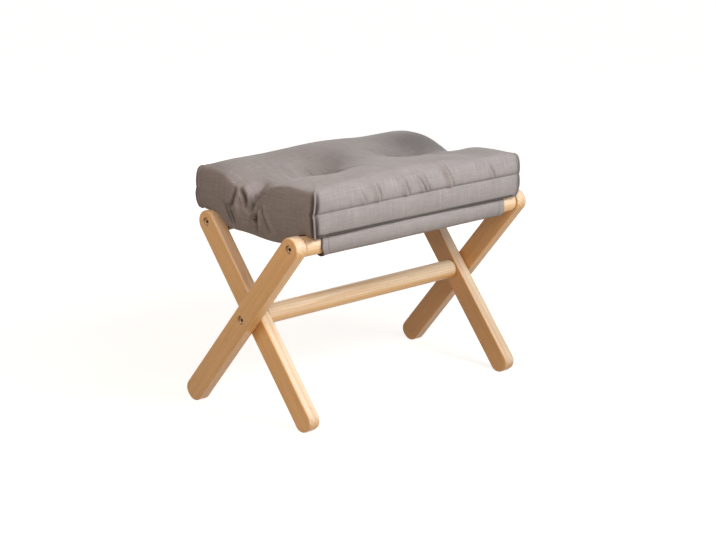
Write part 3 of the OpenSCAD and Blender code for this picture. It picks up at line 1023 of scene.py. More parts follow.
@dataclass
class Bolt:
    """A socket-head connector bolt, modelled with its head outward along -X and copied to its place.

    Attributes:
        node: The CAD bolt that it replaces.
        body: What it turns with.
        shoulder: Length of its smooth shoulder, 0 for a plain bolt.
    """

    node: str
    body: Body
    shoulder: float = 0.0
    head_r: float = 6.2 * MM
    head_h: float = 4.0 * MM
    rim_r: float = 0.8 * MM
    rim_w: float = 1.1 * MM
    dish: float = 0.25 * MM
    dish_w: float = 0.25 * MM
    socket_af: float = 5.0 * MM
    socket_depth: float = 2.6 * MM
    socket_bevel: float = 0.3 * MM
    shank_r: float = 2.95 * MM
    shoulder_r: float = 4.0 * MM
    thread_pitch: float = 1.0 * MM
    thread_depth: float = 0.45 * MM
    thread_turns: int = 25

    def build(self, finish: Material) -> None:
        """Model the bolt where the CAD bolt is, and put it in that bolt's place.

        Args:
            finish: The plating.
        """
        low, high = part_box(self.node)
        bolt = self._head()
        self._shank(bolt, high.x - low.x - self.head_h)
        way, seat = (-1.0, high.x - self.head_h) if low.x + high.x > 0 else (1.0, low.x + self.head_h)
        places = bolt.places
        places[:, 0] = places[:, 0] * way + seat
        places[:, 1:] += ((low.y + high.y) / 2, (low.z + high.z) / 2)
        bolt.mark(self._socket_shade_and_grime(places, seat, way))
        bolt.places = places
        bolt.outward()
        bolt.smooth(35.0)
        bolt.dress(finish, Slot.BRONZE)
        bolt.stand_in(self.body, self.node)

    def _head(self) -> Piece:
        """Turn the head, round its rim, dish its face and broach the hex socket.

        Returns:
            The head, which the shank grows from.
        """
        cylinder, lying = bpy.ops.mesh.primitive_cylinder_add, (0.0, math.pi / 2, 0.0)
        head = Piece.added(
            self.node.replace("bolt", "socket_bolt"), cylinder, vertices=48,
            radius=self.head_r, depth=self.head_h, location=(-self.head_h / 2, 0.0, 0.0), rotation=lying,
        )
        head.settle()
        head.pick_edges(lambda a, b: max(a.x, b.x) < -self.head_h + 1e-6)
        bpy.ops.mesh.bevel(offset=self.rim_r, segments=4, profile=0.5)
        head.pick_faces(lambda middle, normal: normal.x < -0.999 and middle.yz.length < 1e-4)
        bpy.ops.mesh.inset(thickness=self.rim_w)
        bpy.ops.mesh.inset(thickness=self.dish_w)
        bpy.ops.transform.translate(value=(self.dish, 0.0, 0.0))
        cutter = Piece.added(
            "socket_cutter", cylinder, vertices=6, radius=self.socket_af / 2 / math.cos(math.pi / 6),
            depth=2 * self.socket_depth, location=(-self.head_h, 0.0, 0.0), rotation=lying,
        )
        cutter.settle()
        head.modify("BOOLEAN", operation="DIFFERENCE", object=cutter.obj, solver="EXACT")
        bpy.data.objects.remove(cutter.obj)
        head.pick_edges(lambda a, b: self._on_mouth(a) and self._on_mouth(b))
        bpy.ops.mesh.bevel(offset=self.socket_bevel, segments=2, profile=0.5)
        return head

    def _on_mouth(self, place: Vector) -> bool:
        """Whether a point lies on the mouth of the hex socket."""
        return abs(place.x + self.head_h - self.dish) < 2e-5 and place.yz.length < self.socket_af * 0.6

    def _shank(self, bolt: Piece, length: float) -> None:
        """Extrude the shoulder and the thread, ring by ring, from the back of the head.

        Args:
            bolt: The bolt, with its head.
            length: How long the shank is.
        """
        bolt.pick_faces(lambda middle, normal: normal.x > 0.999 and middle.x > -1e-6)
        radius = self.shoulder_r if self.shoulder else self.shank_r
        bpy.ops.mesh.inset(thickness=self.head_r - radius)
        plain = max(self.shoulder or length - self.thread_turns * self.thread_pitch, self.thread_pitch)
        self._extrude(plain)
        for _ in range(int((length - plain) / self.thread_pitch)):
            for wanted in (self.shank_r - self.thread_depth, self.shank_r):
                bpy.ops.transform.resize(value=(1.0, wanted / radius, wanted / radius))
                self._extrude(self.thread_pitch / 2)
                radius = wanted
        bolt.clear()

    @staticmethod
    def _extrude(length: float) -> None:
        """Extrude the selected face along the bolt."""
        bpy.ops.mesh.extrude_region_move(TRANSFORM_OT_translate={"value": (length, 0.0, 0.0)})

    def _socket_shade_and_grime(self, places: Array, seat: float, way: float) -> Array:
        """Mark the painted shade and the grime down in the socket.

        Args:
            places: The bolt's points.
            seat: Where the back of the head lies.
            way: 1 where the shank runs toward +X, -1 where it runs toward -X.

        Returns:
            1 for a point down in the socket, 0 for another.
        """
        depth = (places[:, 0] - seat) * way + self.head_h
        away = np.hypot(places[:, 1] - places[:, 1].mean(), places[:, 2] - places[:, 2].mean())
        return (away < self.socket_af * 0.62) & (depth > 0.5 * self.socket_depth) & (depth < self.head_h)


# Stitches


@dataclass
class StitchRow:
    """A row of stitches along a path, each a short thread that dips into the cloth at both ends.

    Attributes:
        path: Points along the row, on the surface.
        normals: The way out of the cloth at each point.
        length: Length of a stitch.
        gap: Distance from one stitch to the next.
        radius: Half the thread's width.
    """

    path: Array
    normals: Array
    length: float = 3.0 * MM
    gap: float = 1.1 * MM
    radius: float = 0.34 * MM

    def stations(self) -> Iterable[tuple[Vector, Vector, Vector]]:
        """Walk along the row, a stitch at a time.

        Yields:
            The stitch's middle, its direction and the way out of the cloth.
        """
        run = run_of(self.path)
        pitch = self.length + self.gap
        for place in np.arange(pitch, run[-1] - pitch / 2, pitch):
            middle, ahead = (Vector(on_line(self.path, run, at)) for at in (place, place + 1e-3))
            out = Vector(on_line(self.normals, run, place))
            yield middle, (ahead - middle).normalized(), out.normalized()


class StitchWork:
    """All the stitches of one piece, from a single stitch that is modelled once."""

    def __init__(self, name: str) -> None:
        """Name the piece and start with no rows."""
        self.name = name
        self.rows: list[StitchRow] = []

    def build(self) -> Piece:
        """Copy the one stitch along every row.

        Returns:
            The piece that holds all the stitches.
        """
        shape, faces = self._one_stitch()
        points, all_faces = [], []
        for row in self.rows:
            for middle, ahead, out in row.stations():
                side = out.cross(ahead).normalized()
                turn = np.array((ahead, side, ahead.cross(side).normalized()))
                local = shape * np.array((row.length / 2, row.radius, row.radius))
                local[:, 2] += row.radius * (0.55 - 1.1 * shape[:, 0] ** 4)
                all_faces += [[i + len(points) * len(shape) for i in f] for f in faces]
                points.append(local @ turn + np.array(middle))
        piece = Piece.sheet(self.name, np.concatenate(points), all_faces)
        piece.smooth(80.0)
        piece.dress(THREAD.make(), Slot.THREAD)
        log.info("%s has %d stitches", self.name, len(points))
        return piece

    @staticmethod
    def _one_stitch() -> tuple[Array, list[list[int]]]:
        """Model one stitch of unit size along X.

        Returns:
            Its points, and the numbers of each face's points.
        """
        sphere = bpy.ops.mesh.primitive_uv_sphere_add
        stitch = Piece.added("one_stitch", sphere, segments=6, ring_count=6, rotation=(0.0, math.pi / 2, 0.0))
        stitch.settle()
        points = stitch.places
        full = 1.0 / np.sqrt(np.maximum(1 - points[:, :1] ** 2, 0.19))
        points[:, 1:] *= np.where(np.abs(points[:, :1]) < 0.9, full, 1.0)
        faces = [list(p.vertices) for p in stitch.obj.data.polygons]
        bpy.data.objects.remove(stitch.obj)
        return points, faces


# Sling


@dataclass
class Sling:
    """The seat cloth: one piece that wraps each rail in a sewn pocket and hangs between them.

    Its run is a row of (y, z) points, seen from the end, through the front pocket, the span and the rear
    pocket. The rows of skew are (turn round the front rail in degrees, shift of the left end, shift of the
    right end), in millimetres toward the right. The pair of ripple holds its slow and its fine height, that
    of hem_dent its depth and width, and that of flare the pocket's and what its left end adds.
    """

    rail_y: float = 105.4922 * MM
    rail_z: float = 280.5989 * MM
    left: float = -193.0 * MM
    right: float = 203.0 * MM
    wrap_r: float = 16.55 * MM
    slack: float = 1.05 * MM
    thick: float = 1.9 * MM
    sag: float = 8.6 * MM
    top_lift: float = 16.75 * MM
    seam_reach: float = 27.0 * MM
    flap_gap: float = 0.35 * MM
    hem: float = 13.0 * MM
    ripple: Pair = (0.38 * MM, 0.24 * MM)
    hem_lift: float = 0.3 * MM
    hem_dent: Pair = (0.55 * MM, 1.3 * MM)
    flare: Pair = (0.25 * MM, 0.6 * MM)
    ease_y: float = 0.082
    skew_fade: float = 60.0 * MM
    skew: Table = (
        (-270, -4.0, -5.0), (-216, -4.4, -5.5), (-195, -6.5, -6.8), (-180, -7.5, -7.2), (-165, -6.5, -6.6),
        (-149, -3.0, -5.4), (-115, 3.5, -3.4), (-60, 6.0, -3.0),
    )
    columns: int = 132
    arc_steps: int = 34
    span_steps: int = 34

    def build(self) -> None:
        """Cut, hang and hem the cloth, then sew it."""
        line = self._section()
        run, outs = run_of(line), self._outs(line)
        xs = np.linspace(self.left, self.right, self.columns + 1)
        points = np.empty((len(xs), len(line), 3))
        points[:, :, 0] = xs[:, None] + self._askew(xs, line)
        points[:, :, 1:] = line + outs * self._relief(xs, line, run)[:, :, None]
        index = np.arange(len(xs) * len(line)).reshape(len(xs), -1)
        faces = np.stack([index[:-1, :-1], index[:-1, 1:], index[1:, 1:], index[1:, :-1]], axis=-1)
        sling = Piece.sheet("sling_cloth", points.reshape(-1, 3), faces.reshape(-1, 4).tolist())
        flat = np.stack(np.meshgrid(xs, run, indexing="ij"), axis=-1).reshape(-1, 2)
        sling.lay_map(flat[sling.corners()])
        sling.modify("SOLIDIFY", thickness=self.thick, offset=0.0, use_even_offset=True)
        sling.mark(self._painted_shade(sling.places, self._across(sling)))
        sling.smooth(50.0)
        sling.dress(SLING_CLOTH.make(), Slot.SLING)
        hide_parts("sling_front_sleeve", "sling_panel", "sling_rear_sleeve")
        stitches = self._sew(line, outs)
        for piece in (sling, stitches):
            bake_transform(piece.obj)
        width, length = self.right - self.left, float(run[-1])
        log.info("%s spans the two rails, cut %.0f by %.0f mm", sling.obj.name, width / MM, length / MM)

    def _section(self) -> Array:
        """Draw the cloth's run.

        Returns:
            Its (y, z) points.
        """
        turns = np.linspace(math.radians(-42.0), math.radians(-270.0), self.arc_steps)
        radius = self.wrap_r + self.slack * np.maximum(0.0, -np.sin(turns)) ** 1.5
        pocket = np.column_stack([radius * np.cos(turns), radius * np.sin(turns)])
        flap_z = self.top_lift - self.thick - self.flap_gap
        reaches = self.seam_reach + np.array((7.0, 3.5, 0.0, -3.0)) * MM
        hang = self._drop(np.maximum(reaches, self.seam_reach)) + np.array((0.0, 0.0, 0.0, 2.2)) * MM
        flap = np.column_stack([reaches, flap_z - hang])
        last, first = Vector(flap[-1]), Vector(pocket[0])
        bridge = [last.lerp(first, share) for share in (0.2, 0.4, 0.6, 0.8)]
        front = np.concatenate([flap, bridge, pocket]) + (-self.rail_y, self.rail_z)
        y = np.linspace(-self.rail_y, self.rail_y, self.span_steps + 1)[1:-1]
        span = np.column_stack([y, self.rail_z + self.top_lift - self.sag * (1 - (y / self.rail_y) ** 2)])
        return np.concatenate([front, span, front[::-1] * (-1.0, 1.0)])

    def _askew(self, xs: Array, line: Array) -> Array:
        """Work out how far the front pocket's ends are drawn toward the right.

        Args:
            xs: Places across the cloth.
            line: The cloth's run.

        Returns:
            The shift of each point, across the cloth by along its run.
        """
        off_y, off_z = line[:, 0] + self.rail_y, line[:, 1] - self.rail_z
        turn = np.degrees(np.arctan2(off_z, off_y))
        turn = np.where(turn > 0.0, turn - 360.0, turn)
        turns, left, right = np.array(self.skew).T
        share = np.clip((xs - self.left) / (self.right - self.left), 0.0, 1.0)
        round_rail = np.hypot(off_y, off_z) < self.wrap_r + 2 * self.slack
        fading = np.clip(1 - off_y / self.skew_fade, 0.0, 1.0)
        drawn = np.zeros((len(xs), len(line)))
        for shifts, near in ((left, (1 - share) ** 3), (right, share**3)):
            flat = np.where((off_z > 0) & (off_y > 0), shifts[0] * fading, shifts[-1])
            shift = np.where(round_rail, np.interp(turn, turns, shifts), flat)
            drawn += near[:, None] * np.where(off_y < self.skew_fade, shift, 0.0)
        return drawn * MM

    def _drop(self, reach: Array | float) -> Array | float:
        """Return how far the span hangs below its ends, at a reach from the rail."""
        return self.sag * (1 - ((self.rail_y - reach) / self.rail_y) ** 2)

    @staticmethod
    def _outs(line: Array) -> Array:
        """Find the way out of the cloth.

        Args:
            line: The cloth's run.

        Returns:
            The (y, z) direction at each of its points.
        """
        ahead = np.gradient(line, axis=0)
        outs = np.stack([-ahead[:, 1], ahead[:, 0]], axis=1)
        return outs / np.linalg.norm(outs, axis=1)[:, None]

    def _inward(self, across: Array) -> Iterable[Array]:
        """Yield how far each place across the cloth lies in from its left edge, then from its right edge."""
        yield across - self.left
        yield self.right - across

    def _relief(self, xs: Array, line: Array, run: Array) -> Array:
        """Work out how far the cloth stands out: soft ripples, the hems and their sewn dents.

        Args:
            xs: Places across the cloth.
            line: The cloth's run.
            run: How far along its run each point lies.

        Returns:
            The lift of each point, across the cloth by along its run.
        """
        x, s = xs[:, None], run[None]
        slow, fine = self.ripple
        lift = slow * waver(x * 16, s * 30, 1.7) + fine * waver(x * 45 + s * 60, s * 22, 5.1)
        for inward in self._inward(xs):
            band = np.clip((self.hem + 1.2 * MM - inward) / (1.5 * MM), 0.0, 1.0)
            dent = self.hem_dent[0] * bell(inward - self.hem, self.hem_dent[1])
            lift += (self.hem_lift * band - dent)[:, None]
        grip = np.clip((self.rail_z + 6 * MM - line[:, 1]) / (14 * MM), 0.0, 1.0)
        near = np.abs(np.abs(line[:, 0]) - self.rail_y) < 14 * MM
        lift[:, near & (line[:, 1] > self.rail_z + 8 * MM)] *= 0.25
        flare = self.flare[0] + self.flare[1] * bell(xs - self.left, 5 * MM)
        return lift + flare[:, None] * (grip * near)

    @staticmethod
    def _across(sling: Piece) -> Array:
        """Read where each point lies across the flat cloth.

        Args:
            sling: The cloth, with its UV map.

        Returns:
            The place of each point.
        """
        data = sling.obj.data
        across = np.zeros(len(data.vertices))
        across[sling.corners()] = sling.read(data.uv_layers["cloth"].data, "uv", 2, np.float32)[:, 0]
        return across

    def _painted_shade(self, places: Array, across: Array) -> Array:
        """Work out the painted shade: in the sewn dents, along the pocket's left edge, inside the pockets and
        under the cushion.

        Args:
            places: The cloth's points.
            across: Where each lies across the flat cloth.

        Returns:
            How dark each point is, from 0 to 1.
        """
        y, z = places[:, 1], places[:, 2]
        # Painted shade in the dents, inside the pockets, along the front pocket's left edge and under the
        # cushion's front edge.
        dark = sum(0.4 * bell(inward - self.hem, 1.1 * MM) for inward in self._inward(across))
        away = np.hypot(np.abs(y) - self.rail_y, z - self.rail_z)
        dark += np.where(away < self.wrap_r - 0.2 * MM, 0.5, 0.0)
        dark += np.where((across < self.left + 0.5 * MM) & (y < 0.0), 0.9, 0.0)
        front = np.clip(-y / self.rail_y, 0.0, 1.0) ** 4
        dark += front * soft_step(z, self.rail_z + 13.5 * MM, self.rail_z + 16.5 * MM)
        return np.clip(dark, 0.0, 1.0)

    def _sew(self, line: Array, outs: Array) -> Piece:
        """Stitch both hems, and both pockets along the rails.

        Args:
            line: The cloth's run.
            outs: The way out of the cloth at each of its points.

        Returns:
            The piece that holds the stitches.
        """
        work = StitchWork("sling_stitches")
        proud = self.thick / 2
        ends = (self.left + self.hem, self.right - self.hem)
        for x in ends:
            drawn = x + self._askew(np.array([x]), line)[0]
            path = np.column_stack([drawn, line + outs * (proud - 0.3 * MM)])
            work.rows.append(StitchRow(path, np.column_stack([np.zeros(len(line)), outs])))
        reach = self.seam_reach + 2 * MM
        top_z = self.rail_z + self.top_lift - self._drop(reach)
        flap_z = self.rail_z + self.top_lift - self.thick - self.flap_gap - self._drop(reach)
        for y in (reach - self.rail_y, self.rail_y - reach):
            for z, way in ((flap_z - proud + 0.1 * MM, -1.0), (top_z + proud - 0.1 * MM, 1.0)):
                path = np.array([(x, y, z) for x in ends])
                work.rows.append(StitchRow(path, np.array([(0.0, 0.0, way)] * 2)))
        return work.build()


# Cushion


@dataclass(frozen=True)
class Fold:
    """A crease or ridge laid on one face of the cushion.

    Attributes:
        face: The face it lies on.
        run: Its points in millimetres, one after the other, along that face's two axes.
        depth: How deep it is, less than zero for a ridge, in millimetres.
        width: Its half width, in millimetres.
        lip: Share of the depth that its two sides stand up by.
    """

    face: Face
    run: tuple[float, ...]
    depth: float
    width: float
    lip: float = 0.35

    def press(self, places: Array, normals: Array) -> tuple[Array, Array]:
        """Work out how far the fold moves each point.

        Args:
            places: The points, in metres.
            normals: Their normals.

        Returns:
            How far each point moves along its normal, and how much shade is painted in its crease.
        """
        u, v, third, way = self.face.value
        flat = places[:, [u, v]] / MM
        run = np.array(self.run, float).reshape(-1, 2)
        before = run_of(run)
        best = np.full(len(flat), np.inf)
        share = np.zeros(len(flat))
        for a, b, start, stop in zip(run[:-1], run[1:], before[:-1], before[1:]):
            t = np.clip(((flat - a) @ (b - a)) / ((b - a) @ (b - a)), 0.0, 1.0)
            away = np.linalg.norm(flat - (a + t[:, None] * (b - a)), axis=1)
            nearer = away < best
            best[nearer] = away[nearer]
            share[nearer] = (start + t[nearer] * (stop - start)) / before[-1]
        fade = np.sin(np.pi * np.clip(0.12 + 0.76 * share, 0.0, 1.0)) ** 0.7
        facing = np.clip(normals[:, third] * way * 1.6 + 0.1, 0.0, 1.0)
        core, lips = bell(best, self.width), bell(best - 1.9 * self.width, 0.9 * self.width)
        move = -self.depth * MM * fade * facing * (core - self.lip * lips)
        # Painted shade in the crease, darker for a deeper fold.
        return move, np.clip(self.depth / 3.6, 0.0, 1.0) * fade * facing * core


FOLDS: dict[Face, tuple[tuple, ...]] = {
    Face.LEFT_END: (
        ((-19, 351, -3, 339, 9, 328, 15, 313), 9.0, 4.4, 0.2), ((14, 320, 5, 310, 9, 298), 4.6, 2.6, 0.2),
        ((1, 318, 0, 306, 11, 290), -3.4, 2.2, 0.2), ((-7, 321, -2, 301, -1, 282), 4.6, 2.5, 0.2),
        ((-11, 318, -10, 301, -12, 283), -3.0, 2.2, 0.2), ((-14, 322, -22, 305, -30, 286), 4.6, 2.8, 0.2),
        ((-20, 319, -32, 302, -41, 286), -2.2, 3.2, 0.2), ((46, 338, 50, 319, 58, 311), 5.0, 3.2, 0.3),
        ((58, 312, 52, 301, 47, 284), 4.4, 3.0, 0.3), ((37, 342, 28, 331, 24, 316), 4.8, 3.0, 0.3),
        ((41, 332, 42, 316, 38, 298), -3.2, 3.6, 0.2), ((68, 315, 62, 304, 54, 287), 3.8, 3.2, 0.3),
        ((21, 344, 18.5, 330), -1.8, 2.8, 0.2), ((-66, 308, -64, 290), -1.6, 2.8),
    ),
    Face.RIGHT_END: (
        ((-20, 352, -5, 333, 4, 318, 9, 306), 6.0, 4.6, 0.3), ((30, 343, 17, 328, 10, 315), 4.0, 4.0),
        ((-14, 314, -19, 301, -25, 289), 3.0, 3.0), ((22, 316, 31, 302, 38, 290), 3.0, 3.2),
    ),
    Face.FRONT: (
        ((-100, 363, -95, 346, -92, 333.5), -4.4, 4.4, 0.1),
        ((-92, 356, -88, 345, -86, 333.5), 2.6, 2.2, 0.2),
        ((-40, 363, -36, 343, -32, 333.5), -4.4, 4.4, 0.1),
        ((-32, 356, -28, 343, -24.5, 333.5), 2.2, 2.2, 0.2),
        ((-10, 363, -2, 346, 5, 333.5), -3.8, 3.2, 0.1), ((-4, 358, 4, 345, 10, 334), 2.4, 1.8, 0.2),
        ((2, 362, 9, 346, 15, 333.5), -3.6, 2.8, 0.1), ((9, 357, 14.5, 344, 20, 333.5), 2.8, 2.0, 0.2),
        ((50, 367, 57, 350, 64, 333.5), -6.4, 4.4, 0.1), ((58, 364, 65, 347, 71, 333), 4.4, 2.4, 0.25),
        ((84, 360, 88, 345, 92, 334), -2.0, 6.0, 0.1), ((150, 354, 155, 342, 158, 333.5), -2.6, 3.0, 0.1),
        ((156, 351, 161, 341, 164, 333.5), 2.2, 2.0, 0.2),
        ((-131, 354, -126, 342, -121, 333.5), -2.2, 4.0, 0.1),
        ((-124, 350, -120, 341, -116, 334), 1.4, 2.2, 0.1), ((-150, 348, -147, 334), -0.8, 2.8),
        ((-120, 308, -116, 330), -0.7, 3.4), ((36, 309, 39, 330), -0.7, 3.4),
        ((118, 308, 121, 329), -0.6, 3.4),
    ),
    Face.BACK: (
        ((-70, 358, -64, 344, -60, 334), 2.6, 2.6), ((20, 356, 17, 344, 15, 334), 1.9, 2.2),
        ((110, 358, 104, 345, 101, 334), 2.4, 2.4),
    ),
    Face.TOP: (
        ((-118, -14, -142, -30, -166, -36), 0.8, 5.0), ((-84, -16, -62, -40, -50, -62), 0.8, 5.0),
        ((-100, -20, -104, -52), 0.7, 5.0), ((-84, 14, -60, 30, -38, 38), 0.5, 6.0),
        ((-114, 16, -134, 44), 0.6, 6.0), ((118, -14, 140, -34, 150, -52), 0.8, 5.0),
        ((84, -15, 66, -38, 58, -66), 0.8, 5.0), ((84, 14, 58, 26, 36, 28), 0.5, 6.0),
        ((112, 18, 126, 48), 0.6, 6.0),
    ),
}


@dataclass
class Cushion:
    """The tufted box cushion: a top and a base panel sewn along front and back, two end panels and two tufts.

    All its sizes are millimetres. The pairs of valley_back_ends, notch, gather, corner, sag and sag_from are
    for the left end and the right, that of sag_reach for the front and the back, and that of welt_out for the
    seam that stands and those that lie flat. seam_dent, pinch and corner_dent hold a depth and a width, and
    pucker a depth and a height. The other pairs are where something starts and where it is full, from the
    middle out. The rows of profile are (height, inset of the long sides, inset of the ends) from the
    underside up, with the long seam in their middle. Those of the lifts and the lap are (x, how far), and
    those of shades (x, y, reach in x, reach in y, darkness).
    """

    half_l: float = 222.0
    half_w: float = 130.0
    base_z: float = 299.0
    rim_h: float = 63.0
    seam_h: float = 32.0
    crown_front: float = 4.5
    crown_back: float = 9.5
    crown_mid: float = 3.5
    crown_turn: Pair = (-50.0, 50.0)
    valley_mid: float = 7.0
    valley_end: float = 17.0
    valley_falls: Pair = (60.0, 190.0)
    valley_opens: Pair = (130.0, 205.0)
    valley_front_w: float = 40.0
    valley_back_w: float = 56.0
    valley_back_ends: Pair = (55.0, 33.0)
    valley_y: float = 9.0
    notch: Pair = (24.0, 1.0)
    notch_y: float = 14.5
    notch_from: Pair = (176.0, 214.0)
    gather: Pair = (3.5, 0.5)
    gather_from: Pair = (178.0, 208.0)
    tuft_x: float = 99.0
    tuft_depth: float = 24.0
    tuft_r: float = 38.0
    tuft_held: float = 9.0
    tie_reach: float = 8.32
    end_draw: float = 3.6
    side_draw: float = 3.0
    corner: Pair = (0.3, 2.2)
    welt_out: Pair = (4.4, 2.2)
    welt_in: float = 3.0
    welt_thick: float = 2.6
    welt_seam: float = 1.5
    welt_shade: float = 9.5
    ear: float = 1.9
    sag: Pair = (22.0, 12.0)
    sag_from: Pair = (188.0, 203.0)
    sag_reach: Pair = (95.0, 88.0)
    sag_h: float = 58.0
    sag_least: float = 2.6
    belly: float = 3.6
    seam_dent: Pair = (0.9, 1.3)
    pucker: Pair = (0.6, 6.0)
    unevenness: float = 0.3
    pinch: Pair = (5.0, 6.5)
    corner_dent: Pair = (1.8, 2.4)
    corner_dent_at: float = 3.4
    cells: tuple[int, int, int] = (128, 64, 16)
    frames: int = 14
    cap: float = 3.2
    lifts_front: Pair = (5.0, 60.0)
    lifts_back: Pair = (10.0, 70.0)
    laps: Pair = (108.0, 128.0)
    lift_front: Table = (
        (-222, 0), (85, 0), (110, -2.8), (125, -5.4), (150, -8.4), (168, -7.2), (185, -3.0), (200, 3.0),
        (220, 7.0),
    )
    lift_back: Table = (
        (-215, 4.5), (-184, 3.2), (-143, 1.2), (-113, 0.3), (-82, 1.2), (-50, 3.4), (-18, 4.6), (5, 4.7),
        (48, 2.6), (70, 0.7), (92, -0.1), (115, 0.1), (138, 1.8), (161, 2.9), (185, 3.8), (212, 5.4),
    )
    lap: Table = ((-222, 3.4), (-198, 3.5), (-126, 4.7), (0, 6.1), (90, 5.9), (198, 5.4), (222, 4.6))
    profile: Table = (
        (0.0, 4.0, 6.0), (3.0, 1.2, 2.4), (7.5, -0.2, 0.4), (13.0, -1.2, -0.9), (18.5, -1.7, -1.7),
        (24.0, -1.4, -2.0), (28.2, -0.6, -2.1), (30.8, 0.3, -2.1), (32.0, 1.0, -2.0), (33.2, 0.4, -1.9),
        (35.8, -0.5, -1.7), (40.0, -1.2, -1.4), (46.0, -1.4, -0.8), (52.0, -0.9, -0.2), (57.5, 0.4, 0.6),
        (61.2, 2.4, 2.2), (63.6, 5.4, 5.0),
    )
    # Patches of painted shade in the hollows round the tufts.
    shades: Table = (
        (-52, 16, 50, 40, 0.34), (-96, 4, 28, 26, 0.22), (160, 38, 60, 44, 0.60), (104, 8, 46, 38, 0.50),
    )

    def build(self) -> None:
        """Shape, stuff and crease the cushion, then add its corner seams and tuft stitches."""
        pad = self._blank()
        cube = pad.places
        pad.places = self._shape(cube) * MM
        self._stuff(pad, cube)
        self._map(pad, cube)
        corners = self._corner_lines(pad, cube)
        pad.modify("SUBSURF", levels=1, render_levels=1)
        dark = self._press_folds(pad)
        pad.mark(self._press_seams(pad, corners, dark))
        pad.smooth(75.0)
        cloth = CUSHION_CLOTH.make()
        pad.dress(cloth, Slot.CUSHION)
        pad.stand_in(Body.CUSHION, "cushion_top_cover", "cushion_base_cover", "cushion_filling")
        log.info("%s has %d faces", pad.obj.name, len(pad.obj.data.polygons))
        self._welts(corners, cloth)
        self._tuft_stitches(pad)

    def _blank(self) -> Piece:
        """Cut a cube into the cells that the cushion is shaped from.

        Returns:
            The cube, from -1 to 1 along each axis.
        """
        blank = Piece.added("cushion_pad", bpy.ops.mesh.primitive_cube_add, size=2.0)
        for axis, count in enumerate(self.cells):
            others = [k for k in range(3) if k != axis]
            blank.pick_edges(lambda a, b: all(abs(a[k] - b[k]) < 1e-5 for k in others))
            bpy.ops.mesh.subdivide(number_cuts=count - 1)
        blank.clear()
        return blank

    @staticmethod
    def _by_end(x: Array, pair: Pair) -> Array:
        """Return the left end's size or the right end's, for each point."""
        return np.where(x < 0, *pair)

    def _hollows(self, x: Array, y: Array) -> Array:
        """Work out how deep the valley along mid-depth is, with the notch that it cuts in each end.

        Args:
            x: Places along the cushion.
            y: Places across it.

        Returns:
            The depth at each point.
        """
        fall = soft_step(np.abs(x), *self.valley_falls)
        deep = self.valley_mid + (self.valley_end - self.valley_mid) * fall
        off = y - self.valley_y
        at_end = soft_step(np.abs(x), *self.valley_opens)
        back_w = self.valley_back_w + at_end * (self._by_end(x, self.valley_back_ends) - self.valley_back_w)
        wide = np.where(off > 0, back_w, self.valley_front_w)
        power = 2.0 + 1.8 * at_end * (x < 0) * (off > 0)
        off_notch = y - self.notch_y
        sharp = np.exp(-(np.sqrt(off_notch**2 + 9.0) - 3.0) / np.where(off_notch > 0, 5.0, 10.0))
        notch = self._by_end(x, self.notch) * soft_step(np.abs(x), *self.notch_from) * sharp
        return deep * bell(off, wide, power) + notch

    def _shape(self, cube: Array) -> Array:
        """Shape the blank.

        Args:
            cube: The points on the cube, from -1 to 1.

        Returns:
            Their places on the cushion, in millimetres.
        """
        ease = 0.25
        a, b = (cube[:, k] * (1 + ease - ease * cube[:, k] ** 2) for k in (0, 1))
        top = cube[:, 2] > 0.9999
        levels = np.linspace(-1.0, 1.0, len(self.profile))
        height, side_inset, end_inset = on_line(np.array(self.profile), levels, cube[:, 2]).T
        upper = np.clip(height / self.rim_h, 0.0, 1.0)
        corner = self._by_end(a, self.corner) * np.abs(a * b) ** 26
        x = a * (self.half_l - end_inset - corner - self.end_draw * (1 - b * b) ** 2 * a * a)
        y = b * (self.half_w - side_inset - corner - self.side_draw * (1 - a * a) ** 2 * b * b)
        crown = self.crown_front + (self.crown_back - self.crown_front) * soft_step(y, *self.crown_turn)
        crown += self.crown_mid * (1 - a * a) ** 2
        crown += read_off(self.lift_back, x) * soft_step(y, *self.lifts_back)
        crown += read_off(self.lift_front, x) * soft_step(-y, *self.lifts_front)
        tufts = self.tuft_depth * sum(bell(away, self.tuft_r) for away in self._from_tufts(x, y))
        fullness = (1 - a**10) * (1 - b**8)
        z = self.base_z + height - self._hollows(x, y) * soft_step(height, 6.0, self.rim_h + 4.0)
        z += np.where(top, crown * fullness - tufts, 0.0) + self.ear * np.abs(a * b) ** 14 * upper**2
        z -= self._end_sag(x, y) * np.clip(1 - height / self.sag_h, 0.0, 1.0) ** 1.3
        below = np.clip(1 - height / self.seam_h, 0.0, 1.0)
        z -= read_off(self.lap, x) * soft_step(-y, *self.laps) * below
        x -= np.sign(x) * self._gather(x, y, upper)
        return np.column_stack([x, y, z])

    def _from_tufts(self, x: Array, y: Array) -> list[Array]:
        """Return how far each point lies from the left tuft and from the right one."""
        return [np.hypot(x - side * self.tuft_x, y) for side in (-1, 1)]

    def _gather(self, x: Array, y: Array, upper: Array) -> Array:
        """Work out how far each end is drawn in by the valley, as a V that closes toward the base.

        Args:
            x: Places along the cushion.
            y: Places across it.
            upper: Share of the rim's height.

        Returns:
            The draw at each point.
        """
        near = soft_step(np.abs(x), *self.gather_from)
        valley = bell(y - self.notch_y + 4.0 * upper, 6.0 + 15.0 * upper)
        return self._by_end(x, self.gather) * near * upper**1.2 * valley

    def _end_sag(self, x: Array, y: Array) -> Array:
        """Work out how far each end hangs between the legs, past the edge of the sling.

        Args:
            x: Places along the cushion.
            y: Places across it.

        Returns:
            The sag at each point.
        """
        front = np.clip(1 - np.abs(y / self.sag_reach[0]) ** 12, 0.0, 1.0) ** 0.6
        back = np.clip(1 - np.abs(y / self.sag_reach[1]) ** 6, 0.0, 1.0) ** 0.7
        past = soft_step(np.abs(x), self._by_end(x, self.sag_from), self.half_l - 6.0)
        belly = self.belly * bell(y + 22.0, 36.0) * (x < 0)
        hang = self._by_end(x, self.sag) * np.where(y > 0, back, front)
        return past * (hang + self.sag_least + belly)

